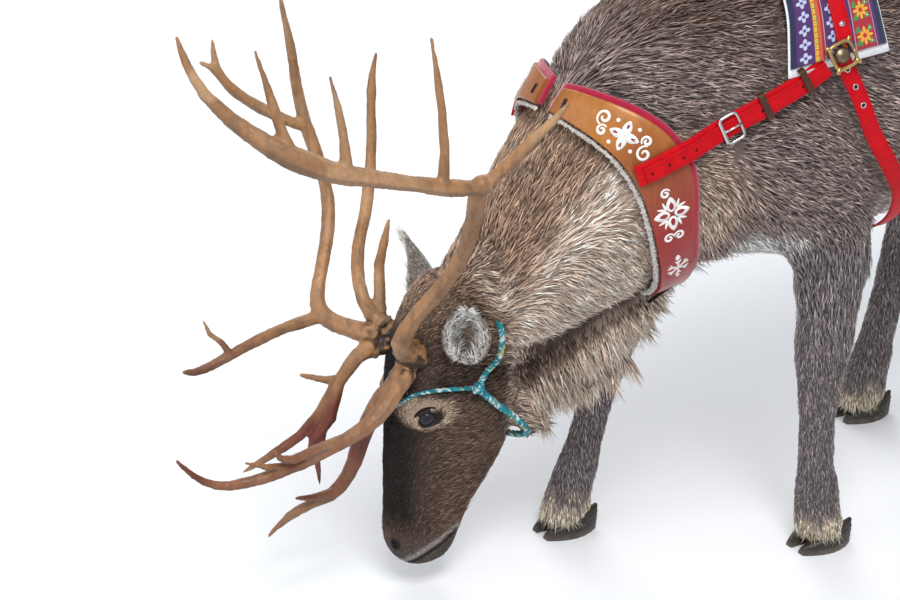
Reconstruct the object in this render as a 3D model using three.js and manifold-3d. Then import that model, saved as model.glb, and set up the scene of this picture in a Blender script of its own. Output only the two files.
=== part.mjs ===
import * as THREE from 'three';
import { mergeVertices } from 'three/addons/utils/BufferGeometryUtils.js';
import Module from 'manifold-3d';

// A reindeer in pulling harness, standing with its nose down to the ground, at life size.
// Sizes are millimetres. Forward is -X, the animal's left is -Y and up is +Z.

const wasm = await Module();
wasm.setup();

// Gap between neighbouring pieces, and how far a surface may move when it is tidied
const GAP = 0.35;
const TIDY = 0.1;
const BODY_TIDY = 0.4;

// Place and turn of the head, which hangs upright with the nose at the ground
const HEAD_FRONT = [-605, 150];
const HEAD_TURN_DEGREES = 10;

// Eyes
const EYE_RADIUS = 17;
const EYE_PLACE = [-50, 66, 343];
const LID_RADIUS = 4.5;
const ORBIT_PLACE = [-58, 50, 345];
const ORBIT_SIZE = [42, 25, 32];

// Nostrils and the line of the mouth: forward, to the left, height
const NOSTRIL_PLACE = [-6, 27, 90];
const NOSTRIL_SIZE = [11, 7, 12];
const MOUTH = [
  [-28, 42],
  [-36, 60],
  [-56, 76],
  [-80, 88],
  [-106, 101],
];
const MOUTH_GAP = 3;
const MOUTH_DEPTH = 9;

// Ears
const EAR_LENGTH = 130;
const EAR_HALF_WIDTH = 37;
const EAR_WALL = 5;

// Feet
const CLAW_LENGTH = 96;
const CLAW_WIDTH = 37;
const CLAW_HEIGHT = 46;

// Trunk: along, top, bottom, height of widest, half width
const TRUNK = [
  [-262, 880, 640, 760, 70],
  [-240, 950, 575, 755, 128],
  [-180, 1030, 535, 765, 180],
  [-60, 1092, 535, 780, 218],
  [80, 1104, 545, 790, 246],
  [250, 1080, 558, 800, 266],
  [440, 1068, 568, 805, 270],
  [610, 1082, 598, 825, 256],
  [760, 1090, 655, 845, 226],
  [870, 1068, 715, 865, 182],
  [935, 1025, 780, 880, 126],
  [962, 970, 840, 895, 66],
];

// Neck: along, across, height, half width, upper depth, lower depth
const NECK = [
  [-40, 0, 800, 170, 270, 235],
  [-125, 0, 788, 176, 262, 232],
  [-215, 0, 760, 172, 226, 222],
  [-300, 5, 712, 156, 168, 205],
  [-375, 22, 650, 134, 130, 175],
  [-430, 50, 585, 102, 100, 146],
  [-462, 85, 520, 76, 80, 120],
  [-475, 112, 455, 60, 64, 98],
];

// Slanting plane where the neck meets the trunk, under the collar
const NECK_PLANE_NORMAL = [0.878, 0, 0.479];
const NECK_PLANE_PLACE = [-290, 0, 715];

// Plane where the head meets the neck: its place and its normal in the head's own directions
const POLL_PLANE_PLACE = [-188, 0, 440];
const POLL_PLANE_NORMAL = [-0.907, 0, 0.42];

// Head: height, front, back, half width, narrowing of the nose bridge
const HEAD = [
  [556, -92, -138, 24, 0],
  [540, -66, -165, 50, 0],
  [500, -40, -192, 70, 0.05],
  [455, -22, -208, 80, 0.1],
  [405, -10, -222, 84, 0.15],
  [350, -5, -232, 80, 0.22],
  [295, -3, -228, 68, 0.25],
  [240, 0, -212, 57, 0.25],
  [185, 0, -182, 49, 0.2],
  [140, 0, -152, 46, 0.12],
  [105, 0, -134, 50, 0.05],
  [78, -5, -122, 50, 0],
  [57, -17, -108, 42, 0],
  [44, -36, -88, 26, 0],
];

// Legs, from the shoulder or hip down: along, across, height, half length, half width
const LEG_FRONT_LEFT = [
  [-50, -92, 950, 55, 40],
  [-72, -122, 890, 90, 60],
  [-78, -150, 805, 118, 70],
  [-50, -166, 715, 128, 68],
  [8, -168, 630, 104, 62],
  [50, -162, 548, 80, 52],
  [58, -152, 460, 60, 44],
  [60, -146, 380, 53, 41],
  [60, -144, 335, 42, 36],
  [62, -142, 250, 31, 29],
  [68, -140, 165, 32, 30],
  [76, -138, 120, 38, 36],
  [82, -136, 78, 40, 38],
  [90, -135, 34, 44, 42],
];
const LEG_FRONT_RIGHT = [
  [-60, 92, 950, 55, 40],
  [-84, 122, 890, 90, 60],
  [-96, 150, 805, 116, 70],
  [-80, 166, 715, 122, 68],
  [-45, 165, 630, 100, 62],
  [-82, 150, 520, 74, 50],
  [-122, 138, 430, 58, 43],
  [-152, 130, 365, 52, 40],
  [-172, 128, 320, 42, 36],
  [-192, 128, 250, 31, 29],
  [-215, 132, 165, 32, 30],
  [-226, 135, 120, 38, 36],
  [-238, 138, 78, 40, 38],
  [-246, 140, 34, 44, 42],
];
const LEG_HIND_RIGHT = [
  [690, 85, 985, 90, 45],
  [648, 120, 925, 140, 72],
  [590, 150, 840, 172, 90],
  [535, 158, 745, 160, 86],
  [505, 162, 655, 122, 74],
  [520, 162, 560, 80, 52],
  [545, 160, 475, 62, 40],
  [545, 160, 425, 56, 38],
  [520, 162, 350, 38, 33],
  [500, 165, 250, 33, 30],
  [484, 170, 165, 33, 31],
  [476, 172, 120, 39, 36],
  [468, 174, 78, 41, 38],
  [460, 174, 34, 45, 42],
];
const LEG_HIND_LEFT = [
  [820, -80, 975, 80, 45],
  [800, -115, 920, 125, 72],
  [775, -146, 840, 158, 90],
  [755, -162, 745, 152, 86],
  [760, -164, 655, 120, 74],
  [815, -160, 560, 80, 52],
  [868, -155, 475, 62, 40],
  [872, -152, 425, 56, 38],
  [850, -150, 350, 38, 33],
  [832, -150, 250, 33, 30],
  [820, -150, 165, 33, 31],
  [814, -150, 120, 39, 36],
  [808, -150, 78, 41, 38],
  [802, -150, 34, 45, 42],
];

// Antlers, measured from the head: forward, to the left, height, radius
const LEFT_BEAM = [
  [-48, 34, 428, 17],
  [-30, 52, 452, 18],
  [-8, 68, 482, 17],
  [-22, 98, 542, 14],
  [-50, 148, 615, 13],
  [-60, 198, 690, 13],
  [-56, 240, 765, 13],
  [-50, 265, 815, 14],
];
const LEFT_REAR = [
  [-62, 273, 828, 10],
  [-80, 286, 848, 9],
  [-115, 300, 890, 8],
  [-145, 310, 920, 6],
  [-168, 311, 944, 2.5],
];
const LEFT_PALM = [
  [-42, 268, 818, 12],
  [5, 280, 832, 13],
  [65, 290, 852, 12],
  [128, 292, 872, 13],
  [185, 290, 890, 16],
  [232, 281, 914, 17],
  [275, 268, 942, 14],
  [310, 250, 972, 11],
  [340, 232, 1006, 8.5],
  [358, 214, 1045, 6],
  [366, 198, 1082, 2.5],
];
const LEFT_PALM_TINES = [
  [[10, 280, 838, 10], [10, 284, 890, 7.5], [12, 279, 950, 6], [16, 270, 1005, 5], [20, 260, 1052, 2]],
  [[160, 290, 888, 10], [160, 285, 930, 7.5], [164, 275, 975, 5.5], [170, 260, 1018, 2]],
  [[238, 275, 925, 11], [249, 261, 970, 8], [256, 244, 1012, 5.5], [265, 225, 1057, 2]],
];
const LEFT_BROW = [
  [-40, 40, 436, 15],
  [0, 58, 396, 16],
  [36, 75, 366, 14],
  [90, 90, 346, 12.5],
  [145, 99, 334, 11.5],
  [208, 105, 321, 10],
  [265, 105, 314, 8.5],
  [312, 101, 318, 7],
  [345, 95, 340, 5],
  [370, 90, 370, 2.5],
];
const LEFT_BROW_PRONGS = [
  [[95, 90, 346, 10], [150, 108, 350, 8], [192, 118, 346, 6.5], [214, 120, 354, 5], [222, 120, 368, 2.5]],
  [[195, 103, 326, 7], [232, 112, 338, 5], [266, 110, 352, 2]],
];
const LEFT_SHOVEL = [
  [-34, 34, 420, 14],
  [10, 30, 372, 16],
  [30, 12, 318, 15],
  [42, 1, 270, 14],
  [58, -5, 222, 12],
  [88, -5, 192, 10.5],
  [125, -1, 186, 8.5],
  [165, 4, 174, 7],
  [202, 10, 150, 2.5],
];
const LEFT_SHOVEL_PRONGS = [
  [[86, -4, 196, 9], [128, 14, 206, 6.5], [160, 30, 222, 2.5]],
];
const RIGHT_BEAM = [
  [-40, -34, 432, 17],
  [0, -50, 446, 17],
  [28, -72, 452, 15],
  [54, -96, 462, 14],
  [64, -112, 482, 13],
  [54, -132, 512, 12],
  [30, -166, 552, 11.5],
  [10, -200, 596, 11],
  [6, -225, 638, 11],
  [15, -242, 690, 11],
  [30, -250, 745, 11],
  [44, -242, 810, 9],
  [56, -230, 878, 7.5],
  [76, -214, 965, 2.5],
];
const RIGHT_FORK = [
  [24, -250, 728, 9],
  [80, -242, 762, 9.5],
  [130, -230, 800, 9],
  [166, -216, 836, 8.5],
  [186, -209, 872, 7],
  [192, -204, 920, 2.5],
];
const RIGHT_FORK_PRONGS = [
  [[176, -212, 850, 7], [196, -205, 874, 5], [214, -199, 886, 2]],
];
const RIGHT_BROW = [
  [58, -104, 464, 11],
  [100, -104, 460, 10.5],
  [150, -96, 454, 9.5],
  [205, -85, 442, 8.5],
  [252, -78, 428, 7.5],
  [285, -72, 424, 6],
  [306, -69, 430, 2.5],
];
const RIGHT_BROW_PRONGS = [
  [[222, -82, 436, 6], [236, -81, 462, 4.5], [256, -80, 482, 3.5], [266, -80, 508, 1.5]],
];
const RIGHT_REAR = [
  [-42, -40, 440, 13],
  [-6, -62, 476, 12],
  [0, -94, 516, 11],
  [-14, -130, 560, 10.5],
  [-40, -166, 602, 10.5],
  [-60, -196, 646, 10.5],
  [-74, -221, 698, 9.5],
  [-82, -240, 760, 8],
  [-88, -249, 802, 6],
  [-96, -250, 840, 2.5],
];
const RIGHT_REAR_PRONGS = [
  [[-22, -60, 470, 11], [-30, -80, 508, 9], [-36, -95, 542, 9], [-48, -104, 576, 7], [-60, -110, 612, 2.5]],
];
const RIGHT_SHOVEL = [
  [-30, -34, 428, 13],
  [12, -37, 426, 14],
  [40, -38, 400, 12.5],
  [66, -41, 362, 11],
  [92, -45, 320, 10],
  [126, -49, 285, 9],
  [175, -50, 260, 7],
  [222, -50, 240, 2],
];
const RIGHT_SHOVEL_PRONGS = [
  [[60, -38, 372, 11], [80, -28, 322, 13], [106, -30, 286, 9], [112, -32, 262, 5]],
  [[88, -34, 308, 9], [104, -24, 252, 6], [101, -21, 206, 2]],
  [[42, -42, 380, 8], [76, -54, 376, 6.5], [114, -65, 388, 3]],
];

// Collar: angle round the neck from the crest, rear edge, front edge
const COLLAR = [
  [5, -10, 27],
  [22, -26, 23],
  [40, -50, 15],
  [55, -64, 13],
  [72, -65, 18],
  [86, -54, 25],
  [102, -35, 32],
  [122, -21, 38],
  [146, -17, 42],
  [172, -15, 40],
];
const COLLAR_BOARD = 6;
const COLLAR_FELT = 10;

// Straps: leather thickness and half widths
const LEATHER = 3.2;
const TRACE_HALF_WIDTH = 17;
const GIRTH_HALF_WIDTH = 14;

// Trace strap along the shoulder: along, height, lift off the coat
const TRACE = [
  [-336, 784, 20],
  [-318, 791, 20],
  [-290, 803, 20],
  [-262, 813, 17],
  [-236, 822, 7],
  [-191, 838, 3],
  [-148, 858, 3],
  [-101, 880, 3],
  [-62, 899, 3],
  [-36, 914, 3],
];

// Girth: angle above the side, place along the trunk
const GIRTH = [
  [33, -12],
  [25, 2],
  [15, 18],
  [5, 34],
  [-5, 58],
  [-15, 88],
  [-25, 116],
  [-40, 138],
  [-60, 150],
  [-90, 155],
];

// Throat mane: along, across, height, half width, half depth
const MANE = [
  [-438, 92, 400, 20, 40],
  [-415, 74, 372, 42, 92],
  [-372, 44, 380, 56, 104],
  [-318, 16, 402, 64, 106],
  [-262, 4, 438, 70, 98],
  [-200, 0, 492, 70, 82],
  [-140, 0, 532, 58, 62],
  [-100, 0, 550, 30, 32],
];
const LOCK_ANGLES = [-66, -22, 22, 66];
const LOCK_LENGTH = 72;
const LOCK_WIDTH = 36;

// Saddle pad: angle above the side, front edge, rear edge
const PAD = [
  [33, -92, 68],
  [45, -82, 68],
  [60, -70, 68],
  [90, -62, 68],
];
const PAD_THICKNESS = 9;
const FITTING_PLACE = [-14, 33];
const ROPE_RADIUS = 4.5;

const point = (x, y, z) => new THREE.Vector3(x, y, z);
const LEFT = point(0, -1, 0);
const UP = point(0, 0, 1);

// A repeatable source of random numbers
function seeded(seed) {
  let state = seed >>> 0;
  return () => {
    state = (state + 0x6d2b79f5) >>> 0;
    let t = Math.imul(state ^ (state >>> 15), 1 | state);
    t = (t + Math.imul(t ^ (t >>> 7), 61 | t)) ^ t;
    return ((t ^ (t >>> 14)) >>> 0) / 4294967296;
  };
}

// Smooth rows through the given rows of numbers
function smoothRows(rows, steps) {
  const out = [];
  for (let i = 0; i < rows.length - 1; i += 1) {
    const a = rows[Math.max(i - 1, 0)];
    const b = rows[i];
    const c = rows[i + 1];
    const d = rows[Math.min(i + 2, rows.length - 1)];
    for (let s = 0; s < steps; s += 1) {
      const t = s / steps;
      out.push(b.map((_, k) => {
        const slopeB = (c[k] - a[k]) / 2;
        const slopeC = (d[k] - b[k]) / 2;
        const h = t * t * (3 - 2 * t);
        return b[k] * (1 - h) + c[k] * h
          + slopeB * t * (1 - t) * (1 - t) - slopeC * t * t * (1 - t);
      }));
    }
  }
  out.push(rows[rows.length - 1]);
  return out;
}

// A closed surface through rings with the same number of points each
function loft(rings) {
  const sides = rings[0].length;
  const positions = [];
  const index = [];
  rings.forEach((ring) => ring.forEach((p) => positions.push(p.x, p.y, p.z)));
  for (let r = 0; r < rings.length - 1; r += 1) {
    for (let s = 0; s < sides; s += 1) {
      const a = r * sides + s;
      const b = r * sides + ((s + 1) % sides);
      index.push(a, b, b + sides, a, b + sides, a + sides);
    }
  }
  [0, rings.length - 1].forEach((r) => {
    const middle = rings[r].reduce((sum, p) => sum.add(p), point(0, 0, 0)).divideScalar(sides);
    const hub = positions.length / 3;
    positions.push(middle.x, middle.y, middle.z);
    for (let s = 0; s < sides; s += 1) {
      const a = r * sides + s;
      const b = r * sides + ((s + 1) % sides);
      if (r === 0) index.push(hub, b, a);
      else index.push(hub, a, b);
    }
  });
  const geometry = new THREE.BufferGeometry();
  geometry.setAttribute('position', new THREE.Float32BufferAttribute(positions, 3));
  geometry.setIndex(index);
  return geometry;
}

// Volume inside a closed indexed surface, negative where its faces point inwards
function volumeOf(geometry) {
  const p = geometry.attributes.position;
  const a = point(0, 0, 0);
  const b = point(0, 0, 0);
  const c = point(0, 0, 0);
  let sum = 0;
  for (let i = 0; i < geometry.index.count; i += 3) {
    a.fromBufferAttribute(p, geometry.index.getX(i));
    b.fromBufferAttribute(p, geometry.index.getX(i + 1));
    c.fromBufferAttribute(p, geometry.index.getX(i + 2));
    sum += a.dot(b.cross(c)) / 6;
  }
  return sum;
}

// A solid from a closed surface
function solid(geometry, weld = 1e-4) {
  const bare = geometry.clone();
  bare.deleteAttribute('normal');
  bare.deleteAttribute('uv');
  const merged = mergeVertices(bare, weld);
  const index = Array.from(merged.index.array);
  if (volumeOf(merged) < 0) {
    for (let i = 0; i < index.length; i += 3) {
      [index[i], index[i + 1]] = [index[i + 1], index[i]];
    }
  }
  return new wasm.Manifold(new wasm.Mesh({
    numProp: 3,
    vertProperties: new Float32Array(merged.attributes.position.array),
    triVerts: new Uint32Array(index),
  }));
}

// A surface from the largest closed piece of a solid
function largest(body) {
  const parts = body.decompose();
  parts.sort((a, b) => b.volume() - a.volume());
  const mesh = parts[0].getMesh();
  const geometry = new THREE.BufferGeometry();
  geometry.setAttribute('position', new THREE.BufferAttribute(new Float32Array(mesh.vertProperties), 3));
  geometry.setIndex(new THREE.BufferAttribute(new Uint32Array(mesh.triVerts), 1));
  return geometry;
}

// Whether a surface stays one closed piece when points that nearly coincide become one
function staysClosed(geometry) {
  const { index } = mergeVertices(geometry, 2e-3);
  const edges = new Map();
  for (let i = 0; i < index.count; i += 1) {
    const from = index.getX(i);
    const to = index.getX(i % 3 === 2 ? i - 2 : i + 1);
    const key = from < to ? `${from} ${to}` : `${to} ${from}`;
    edges.set(key, (edges.get(key) ?? 0) + 1);
  }
  if ([...edges.values()].some((count) => count !== 2)) return false;
  try {
    return solid(geometry, 2e-3).decompose().length === 1;
  } catch {
    return false;
  }
}

// The largest closed piece of a solid, tidied, as a surface
function surface(body, tidy = TIDY) {
  const geometry = largest(body.simplify(tidy));
  return staysClosed(geometry) || tidy > 0.5 ? geometry : surface(body, tidy * 1.5);
}

// The same solid with its faces moved outwards by at least a distance
function swollen(body, distance) {
  const geometry = surface(body);
  geometry.computeVertexNormals();
  const p = geometry.attributes.position;
  const n = geometry.attributes.normal;
  const index = geometry.index;
  const least = new Float32Array(p.count).fill(1);
  const corner = (k) => point(p.getX(k), p.getY(k), p.getZ(k));
  for (let i = 0; i < index.count; i += 3) {
    const [a, b, c] = [index.getX(i), index.getX(i + 1), index.getX(i + 2)];
    const origin = corner(a);
    const face = corner(b).sub(origin).cross(corner(c).sub(origin)).normalize();
    [a, b, c].forEach((k) => {
      const dot = face.x * n.getX(k) + face.y * n.getY(k) + face.z * n.getZ(k);
      least[k] = Math.min(least[k], dot);
    });
  }
  for (let i = 0; i < p.count; i += 1) {
    const far = distance / Math.max(least[i], 0.3);
    p.setXYZ(i, p.getX(i) + n.getX(i) * far, p.getY(i) + n.getY(i) * far, p.getZ(i) + n.getZ(i) * far);
  }
  return solid(geometry);
}

const joined = (solids) => solids.reduce((sum, next) => sum.add(next));

// The same solid spread by a distance to every side, with copies of itself
function spread(body, distance) {
  const copies = [body];
  [-1, 1].forEach((a) => {
    copies.push(body.translate([a * distance, 0, 0]));
    copies.push(body.translate([0, a * distance, 0]));
    copies.push(body.translate([0, 0, a * distance]));
    [-1, 1].forEach((b) => [-1, 1].forEach((c) => {
      copies.push(body.translate([a * distance * 0.7, b * distance * 0.7, c * distance * 0.7]));
    }));
  });
  return joined(copies);
}

// A ring of points round a centre, between two half axes and a squareness
function ring(centre, across, upward, halfAcross, halfUp, halfDown, sides, power = 2) {
  const points = [];
  for (let s = 0; s < sides; s += 1) {
    const angle = ((s + 0.5) / sides) * Math.PI * 2;
    const c = Math.cos(angle);
    const d = Math.sin(angle);
    const x = Math.sign(c) * Math.abs(c) ** (2 / power) * halfAcross;
    const y = Math.sign(d) * Math.abs(d) ** (2 / power) * (d > 0 ? halfUp : halfDown);
    points.push(centre.clone().addScaledVector(across, x).addScaledVector(upward, y));
  }
  return points;
}

// A limb of round sections along a path that may bend any way
function limb(rows, sides, steps, lumps = 0, seed = 1, flat = 1, flatWay = UP) {
  const random = seeded(seed);
  const smooth = smoothRows(rows, steps);
  const centres = smooth.map((row) => point(row[0], row[1], row[2]));
  let across = point(0.3, -0.9, 0.2);
  return loft(smooth.map((row, i) => {
    const before = centres[Math.max(i - 1, 0)];
    const after = centres[Math.min(i + 1, centres.length - 1)];
    const along = after.clone().sub(before).normalize();
    if (flat !== 1) across = flatWay.clone();
    across = across.addScaledVector(along, -across.dot(along)).normalize();
    const upward = along.clone().cross(across);
    const points = ring(centres[i], across, upward, row[3] * flat, row[3], row[3], sides);
    return points.map((p) => {
      const swell = 1 + lumps * (random() - 0.5);
      return p.sub(centres[i]).multiplyScalar(swell).add(centres[i]);
    });
  }));
}

// The head's own directions
const headTurn = THREE.MathUtils.degToRad(HEAD_TURN_DEGREES);
const headForward = point(-Math.cos(headTurn), Math.sin(headTurn), 0);
const headLeft = point(-Math.sin(headTurn), -Math.cos(headTurn), 0);
const headWay = (forward, left, up) => headForward.clone().multiplyScalar(forward)
  .addScaledVector(headLeft, left)
  .addScaledVector(UP, up);
const headPoint = (forward, left, height) => point(HEAD_FRONT[0], HEAD_FRONT[1], height)
  .addScaledVector(headForward, forward)
  .addScaledVector(headLeft, left);
const onHead = (rows) => rows.map((row) => {
  const p = headPoint(row[0], row[1], row[2]);
  return [p.x, p.y, p.z, row[3]];
});

// Trunk
function trunk() {
  return solid(loft(smoothRows(TRUNK, 2).map(([x, top, bottom, widest, half]) => (
    ring(point(x, 0, widest), LEFT, UP, half, top - widest, widest - bottom, 22, 2.15)
  ))));
}

// Neck, with sections square to its bend
function neck() {
  const rows = smoothRows(NECK, 2);
  const centres = rows.map((row) => point(row[0], row[1], row[2]));
  return solid(loft(rows.map((row, i) => {
    const before = centres[Math.max(i - 1, 0)];
    const after = centres[Math.min(i + 1, centres.length - 1)];
    const along = after.clone().sub(before).normalize();
    const across = UP.clone().cross(along).normalize();
    const upward = along.clone().cross(across);
    return ring(centres[i], across, upward, row[3], row[4], row[5], 18, 2.1);
  })));
}

// Head, with level sections, as large as life or shrunk inwards
function headBlock(inset = 0) {
  return solid(loft(smoothRows(HEAD, 2).map(([z, front, back, half, slim]) => {
    const middle = (front + back) / 2;
    const centre = headPoint(middle, 0, z + (z < 150 ? inset : -inset));
    const depth = (front - back) / 2 - inset;
    return ring(centre, headLeft, headForward, half - inset, depth, depth, 18, 2.3).map((p) => {
      const forward = p.clone().sub(centre).dot(headForward) / depth;
      const sideways = p.clone().sub(centre).dot(headLeft);
      return p.addScaledVector(headLeft, -sideways * slim * Math.max(0, forward));
    });
  })));
}

// A rounded lump set along the head's own directions
function lump(place, size, side, turn = 0, rings = 6) {
  const ball = new THREE.SphereGeometry(1, rings + 4, rings);
  ball.scale(...size);
  ball.rotateZ(turn * side);
  const matrix = new THREE.Matrix4().makeBasis(headForward, headLeft, UP);
  matrix.setPosition(headPoint(place[0], place[1] * side, place[2]));
  ball.applyMatrix4(matrix);
  return solid(ball);
}

// Lids: an almond ring round the eye, lower towards the nose
function lids(side) {
  const ringShape = new THREE.TorusGeometry(EYE_RADIUS - 2, LID_RADIUS, 6, 14);
  ringShape.scale(1.25, 0.84, 1);
  const out = headWay(0.3, side, 0.05).normalize();
  const long = headWay(-0.8, 0.1 * side, 0.5);
  long.addScaledVector(out, -long.dot(out)).normalize();
  const high = out.clone().cross(long);
  const matrix = new THREE.Matrix4().makeBasis(long, high, out);
  matrix.setPosition(headPoint(EYE_PLACE[0], EYE_PLACE[1] * side, EYE_PLACE[2]).addScaledVector(out, 11));
  ringShape.applyMatrix4(matrix);
  return solid(ringShape);
}

const nostril = (side) => lump(NOSTRIL_PLACE, NOSTRIL_SIZE, side, 0.6, 6);
const orbit = (side) => lump(ORBIT_PLACE, ORBIT_SIZE, side);

// The line of the mouth: a thin bent slot, cut to a shallow depth
function mouthSlot() {
  const rows = MOUTH.map(([forward, height], i) => {
    const next = MOUTH[Math.min(i + 1, MOUTH.length - 1)];
    const last = MOUTH[Math.max(i - 1, 0)];
    const slope = point(next[0] - last[0], next[1] - last[1], 0).normalize();
    const half = i === MOUTH.length - 1 ? 0.4 : MOUTH_GAP / 2;
    const at = (side, across) => headPoint(
      forward - slope.y * half * across,
      side * 80,
      height + slope.x * half * across,
    );
    return [at(-1, -1), at(1, -1), at(1, 1), at(-1, 1)];
  });
  return solid(loft(rows));
}

function finishedHead(block) {
  return block
    .subtract(mouthSlot())
    .add(headBlock(MOUTH_DEPTH))
    .subtract(nostril(1))
    .subtract(nostril(-1))
    .add(orbit(1))
    .add(orbit(-1))
    .add(lids(1))
    .add(lids(-1));
}

function eye(side) {
  const ball = new THREE.SphereGeometry(EYE_RADIUS, 12, 7);
  const place = headPoint(EYE_PLACE[0], EYE_PLACE[1] * side, EYE_PLACE[2]);
  ball.translate(place.x, place.y, place.z);
  return solid(ball);
}

// An ear: a pointed cup, open to one side, on a narrow root
function ear(root, tipWay, openWay) {
  const along = tipWay.clone().normalize();
  const open = openWay.clone().addScaledVector(along, -openWay.dot(along)).normalize();
  const across = along.clone().cross(open);
  const lengthSteps = 8;
  const widthSteps = 6;
  const at = (u, v, inset) => {
    const belly = Math.sin(Math.PI * Math.min(1, u * 0.86 + 0.14)) ** 0.75;
    const radius = Math.max(EAR_HALF_WIDTH * belly * (1.12 - 0.2 * u), 6.5) - inset;
    const spread = THREE.MathUtils.lerp(2.35, 1.25, Math.min(1, u * 1.15));
    const angle = v * spread;
    const hollow = radius * (0.95 - 0.3 * u);
    return root.clone()
      .addScaledVector(along, EAR_LENGTH * u + inset * 0.6)
      .addScaledVector(across, Math.sin(angle) * Math.max(radius, 1))
      .addScaledVector(open, -Math.cos(angle) * Math.max(hollow, 1));
  };
  const rings = [];
  for (let i = 0; i <= lengthSteps; i += 1) {
    const u = i / lengthSteps;
    const loop = [];
    for (let j = 0; j <= widthSteps; j += 1) loop.push(at(u, (j / widthSteps) * 2 - 1, 0));
    for (let j = widthSteps; j >= 0; j -= 1) loop.push(at(u, (j / widthSteps) * 2 - 1, EAR_WALL));
    rings.push(loop);
  }
  return solid(loft(rings));
}

// A leg with level sections, between two of its rows
function leg(rows, from, to) {
  return solid(loft(rows.slice(from, to + 1).map(([x, y, z, long, wide]) => (
    ring(point(x, y, z), LEFT, point(-1, 0, 0), wide, long, long, 10, 2.15)
  ))));
}

// One claw of a foot: a crescent with a flat sole and a sloping wall
function claw(x, y, side) {
  const rings = [];
  const steps = 6;
  for (let i = 0; i <= steps; i += 1) {
    const t = i / steps;
    const bow = Math.sin(Math.PI * Math.min(1, 0.18 + t * 0.82));
    const along = x + CLAW_LENGTH * 0.46 - CLAW_LENGTH * t;
    const middle = y + side * (CLAW_WIDTH * 0.42 + bow * CLAW_WIDTH * 0.26);
    const half = CLAW_WIDTH * 0.5 * Math.sin(Math.PI * (0.16 + 0.76 * t)) ** 0.7;
    const high = CLAW_HEIGHT * (0.98 - 0.72 * t ** 1.6);
    const loop = [];
    for (let j = 0; j <= 5; j += 1) {
      const a = (j / 5) * Math.PI;
      const lift = Math.sin(a) ** 0.8 * high;
      const lean = (1 - 0.28 * (lift / CLAW_HEIGHT)) * half;
      loop.push(point(along + lift * 0.22, middle + Math.cos(a) * lean, lift));
    }
    loop.push(point(along, middle, 0));
    rings.push(loop);
  }
  return solid(loft(rings));
}

// The pair of small claws behind a foot, on one root
function dewclaws(x, y) {
  const one = (side) => solid(limb([
    [x + 22, y + side * 8, 98, 9],
    [x + 40, y + side * 17, 88, 12],
    [x + 50, y + side * 24, 70, 10],
    [x + 56, y + side * 28, 50, 5],
    [x + 57, y + side * 29, 40, 2],
  ], 6, 1));
  return one(1).add(one(-1));
}

// The mane's core: a keel under the neck
function keel() {
  return solid(loft(smoothRows(MANE, 2).map(([x, y, z, wide, deep]) => (
    ring(point(x, y, z), LEFT, UP, wide * 0.96, deep * 0.94, deep * 0.94, 12)
  ))));
}

// The mane's locks: flat and tapered, rooted in the core, bending down and back
function maneLocks() {
  const random = seeded(77);
  const locks = [];
  smoothRows(MANE.slice(1, -1), 2).forEach(([x, y, z, wide, deep], i) => {
    LOCK_ANGLES.forEach((degrees) => {
      const angle = THREE.MathUtils.degToRad(degrees + (i % 2) * 17 + (random() - 0.5) * 9);
      const outward = point(0, -Math.sin(angle), -Math.cos(angle));
      const root = point(
        x + (random() - 0.5) * 14,
        y - Math.sin(angle) * wide * 0.84,
        z - Math.cos(angle) * deep * 0.5,
      );
      const length = LOCK_LENGTH * (0.85 + random() * 0.4) * (0.7 + 0.3 * Math.cos(angle));
      const back = 0.42 + random() * 0.2;
      const at = (t, out) => {
        const p = root.clone().add(point(back * length * t, 0, -length * t * (0.72 + 0.28 * t)));
        return p.addScaledVector(outward, out);
      };
      const row = (p, radius) => [p.x, p.y, p.z, radius];
      const rows = [
        row(at(0, -6), LOCK_WIDTH * 0.42),
        row(at(0.3, 9), LOCK_WIDTH * 0.5),
        row(at(0.68, 7), LOCK_WIDTH * 0.36),
        row(at(1, -3), 1.6),
      ];
      locks.push(solid(limb(rows, 5, 1, 0, 1, 0.42, outward)));
    });
  });
  return joined(locks);
}

const mane = () => keel().add(maneLocks());

function tail() {
  return solid(limb([
    [905, 0, 985, 34],
    [955, 0, 990, 36],
    [985, 0, 960, 34],
    [998, 0, 905, 30],
    [1000, 0, 860, 20],
    [1000, 0, 830, 5],
  ], 10, 2, 0, 3, 0.8, LEFT));
}

// Antler branches
const branch = (rows, seed, steps = 2) => solid(limb(onHead(rows), 6, steps, 0.1, seed));
const branches = (main, extras, seed) => joined([
  branch(main, seed),
  ...extras.map((rows, i) => branch(rows, seed + 10 * (i + 1), 1)),
]);

// The dressed surface of the body, found by rays from outside
const legs = [
  ['front_left', LEG_FRONT_LEFT],
  ['front_right', LEG_FRONT_RIGHT],
  ['hind_left', LEG_HIND_LEFT],
  ['hind_right', LEG_HIND_RIGHT],
];
const trunkAndNeck = trunk().add(neck());
const neckCoat = new THREE.Mesh(surface(trunkAndNeck));
const coat = new THREE.Mesh(surface(joined([
  trunkAndNeck,
  headBlock(),
  ...legs.map(([, rows]) => leg(rows, 0, 8)),
])));
const ray = new THREE.Raycaster();
function touch(inside, way, on = coat) {
  const outward = way.clone().normalize();
  ray.set(inside.clone().addScaledVector(outward, 900), outward.clone().negate());
  const hit = ray.intersectObject(on)[0];
  return { place: hit.point, normal: hit.face.normal.clone() };
}

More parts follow.
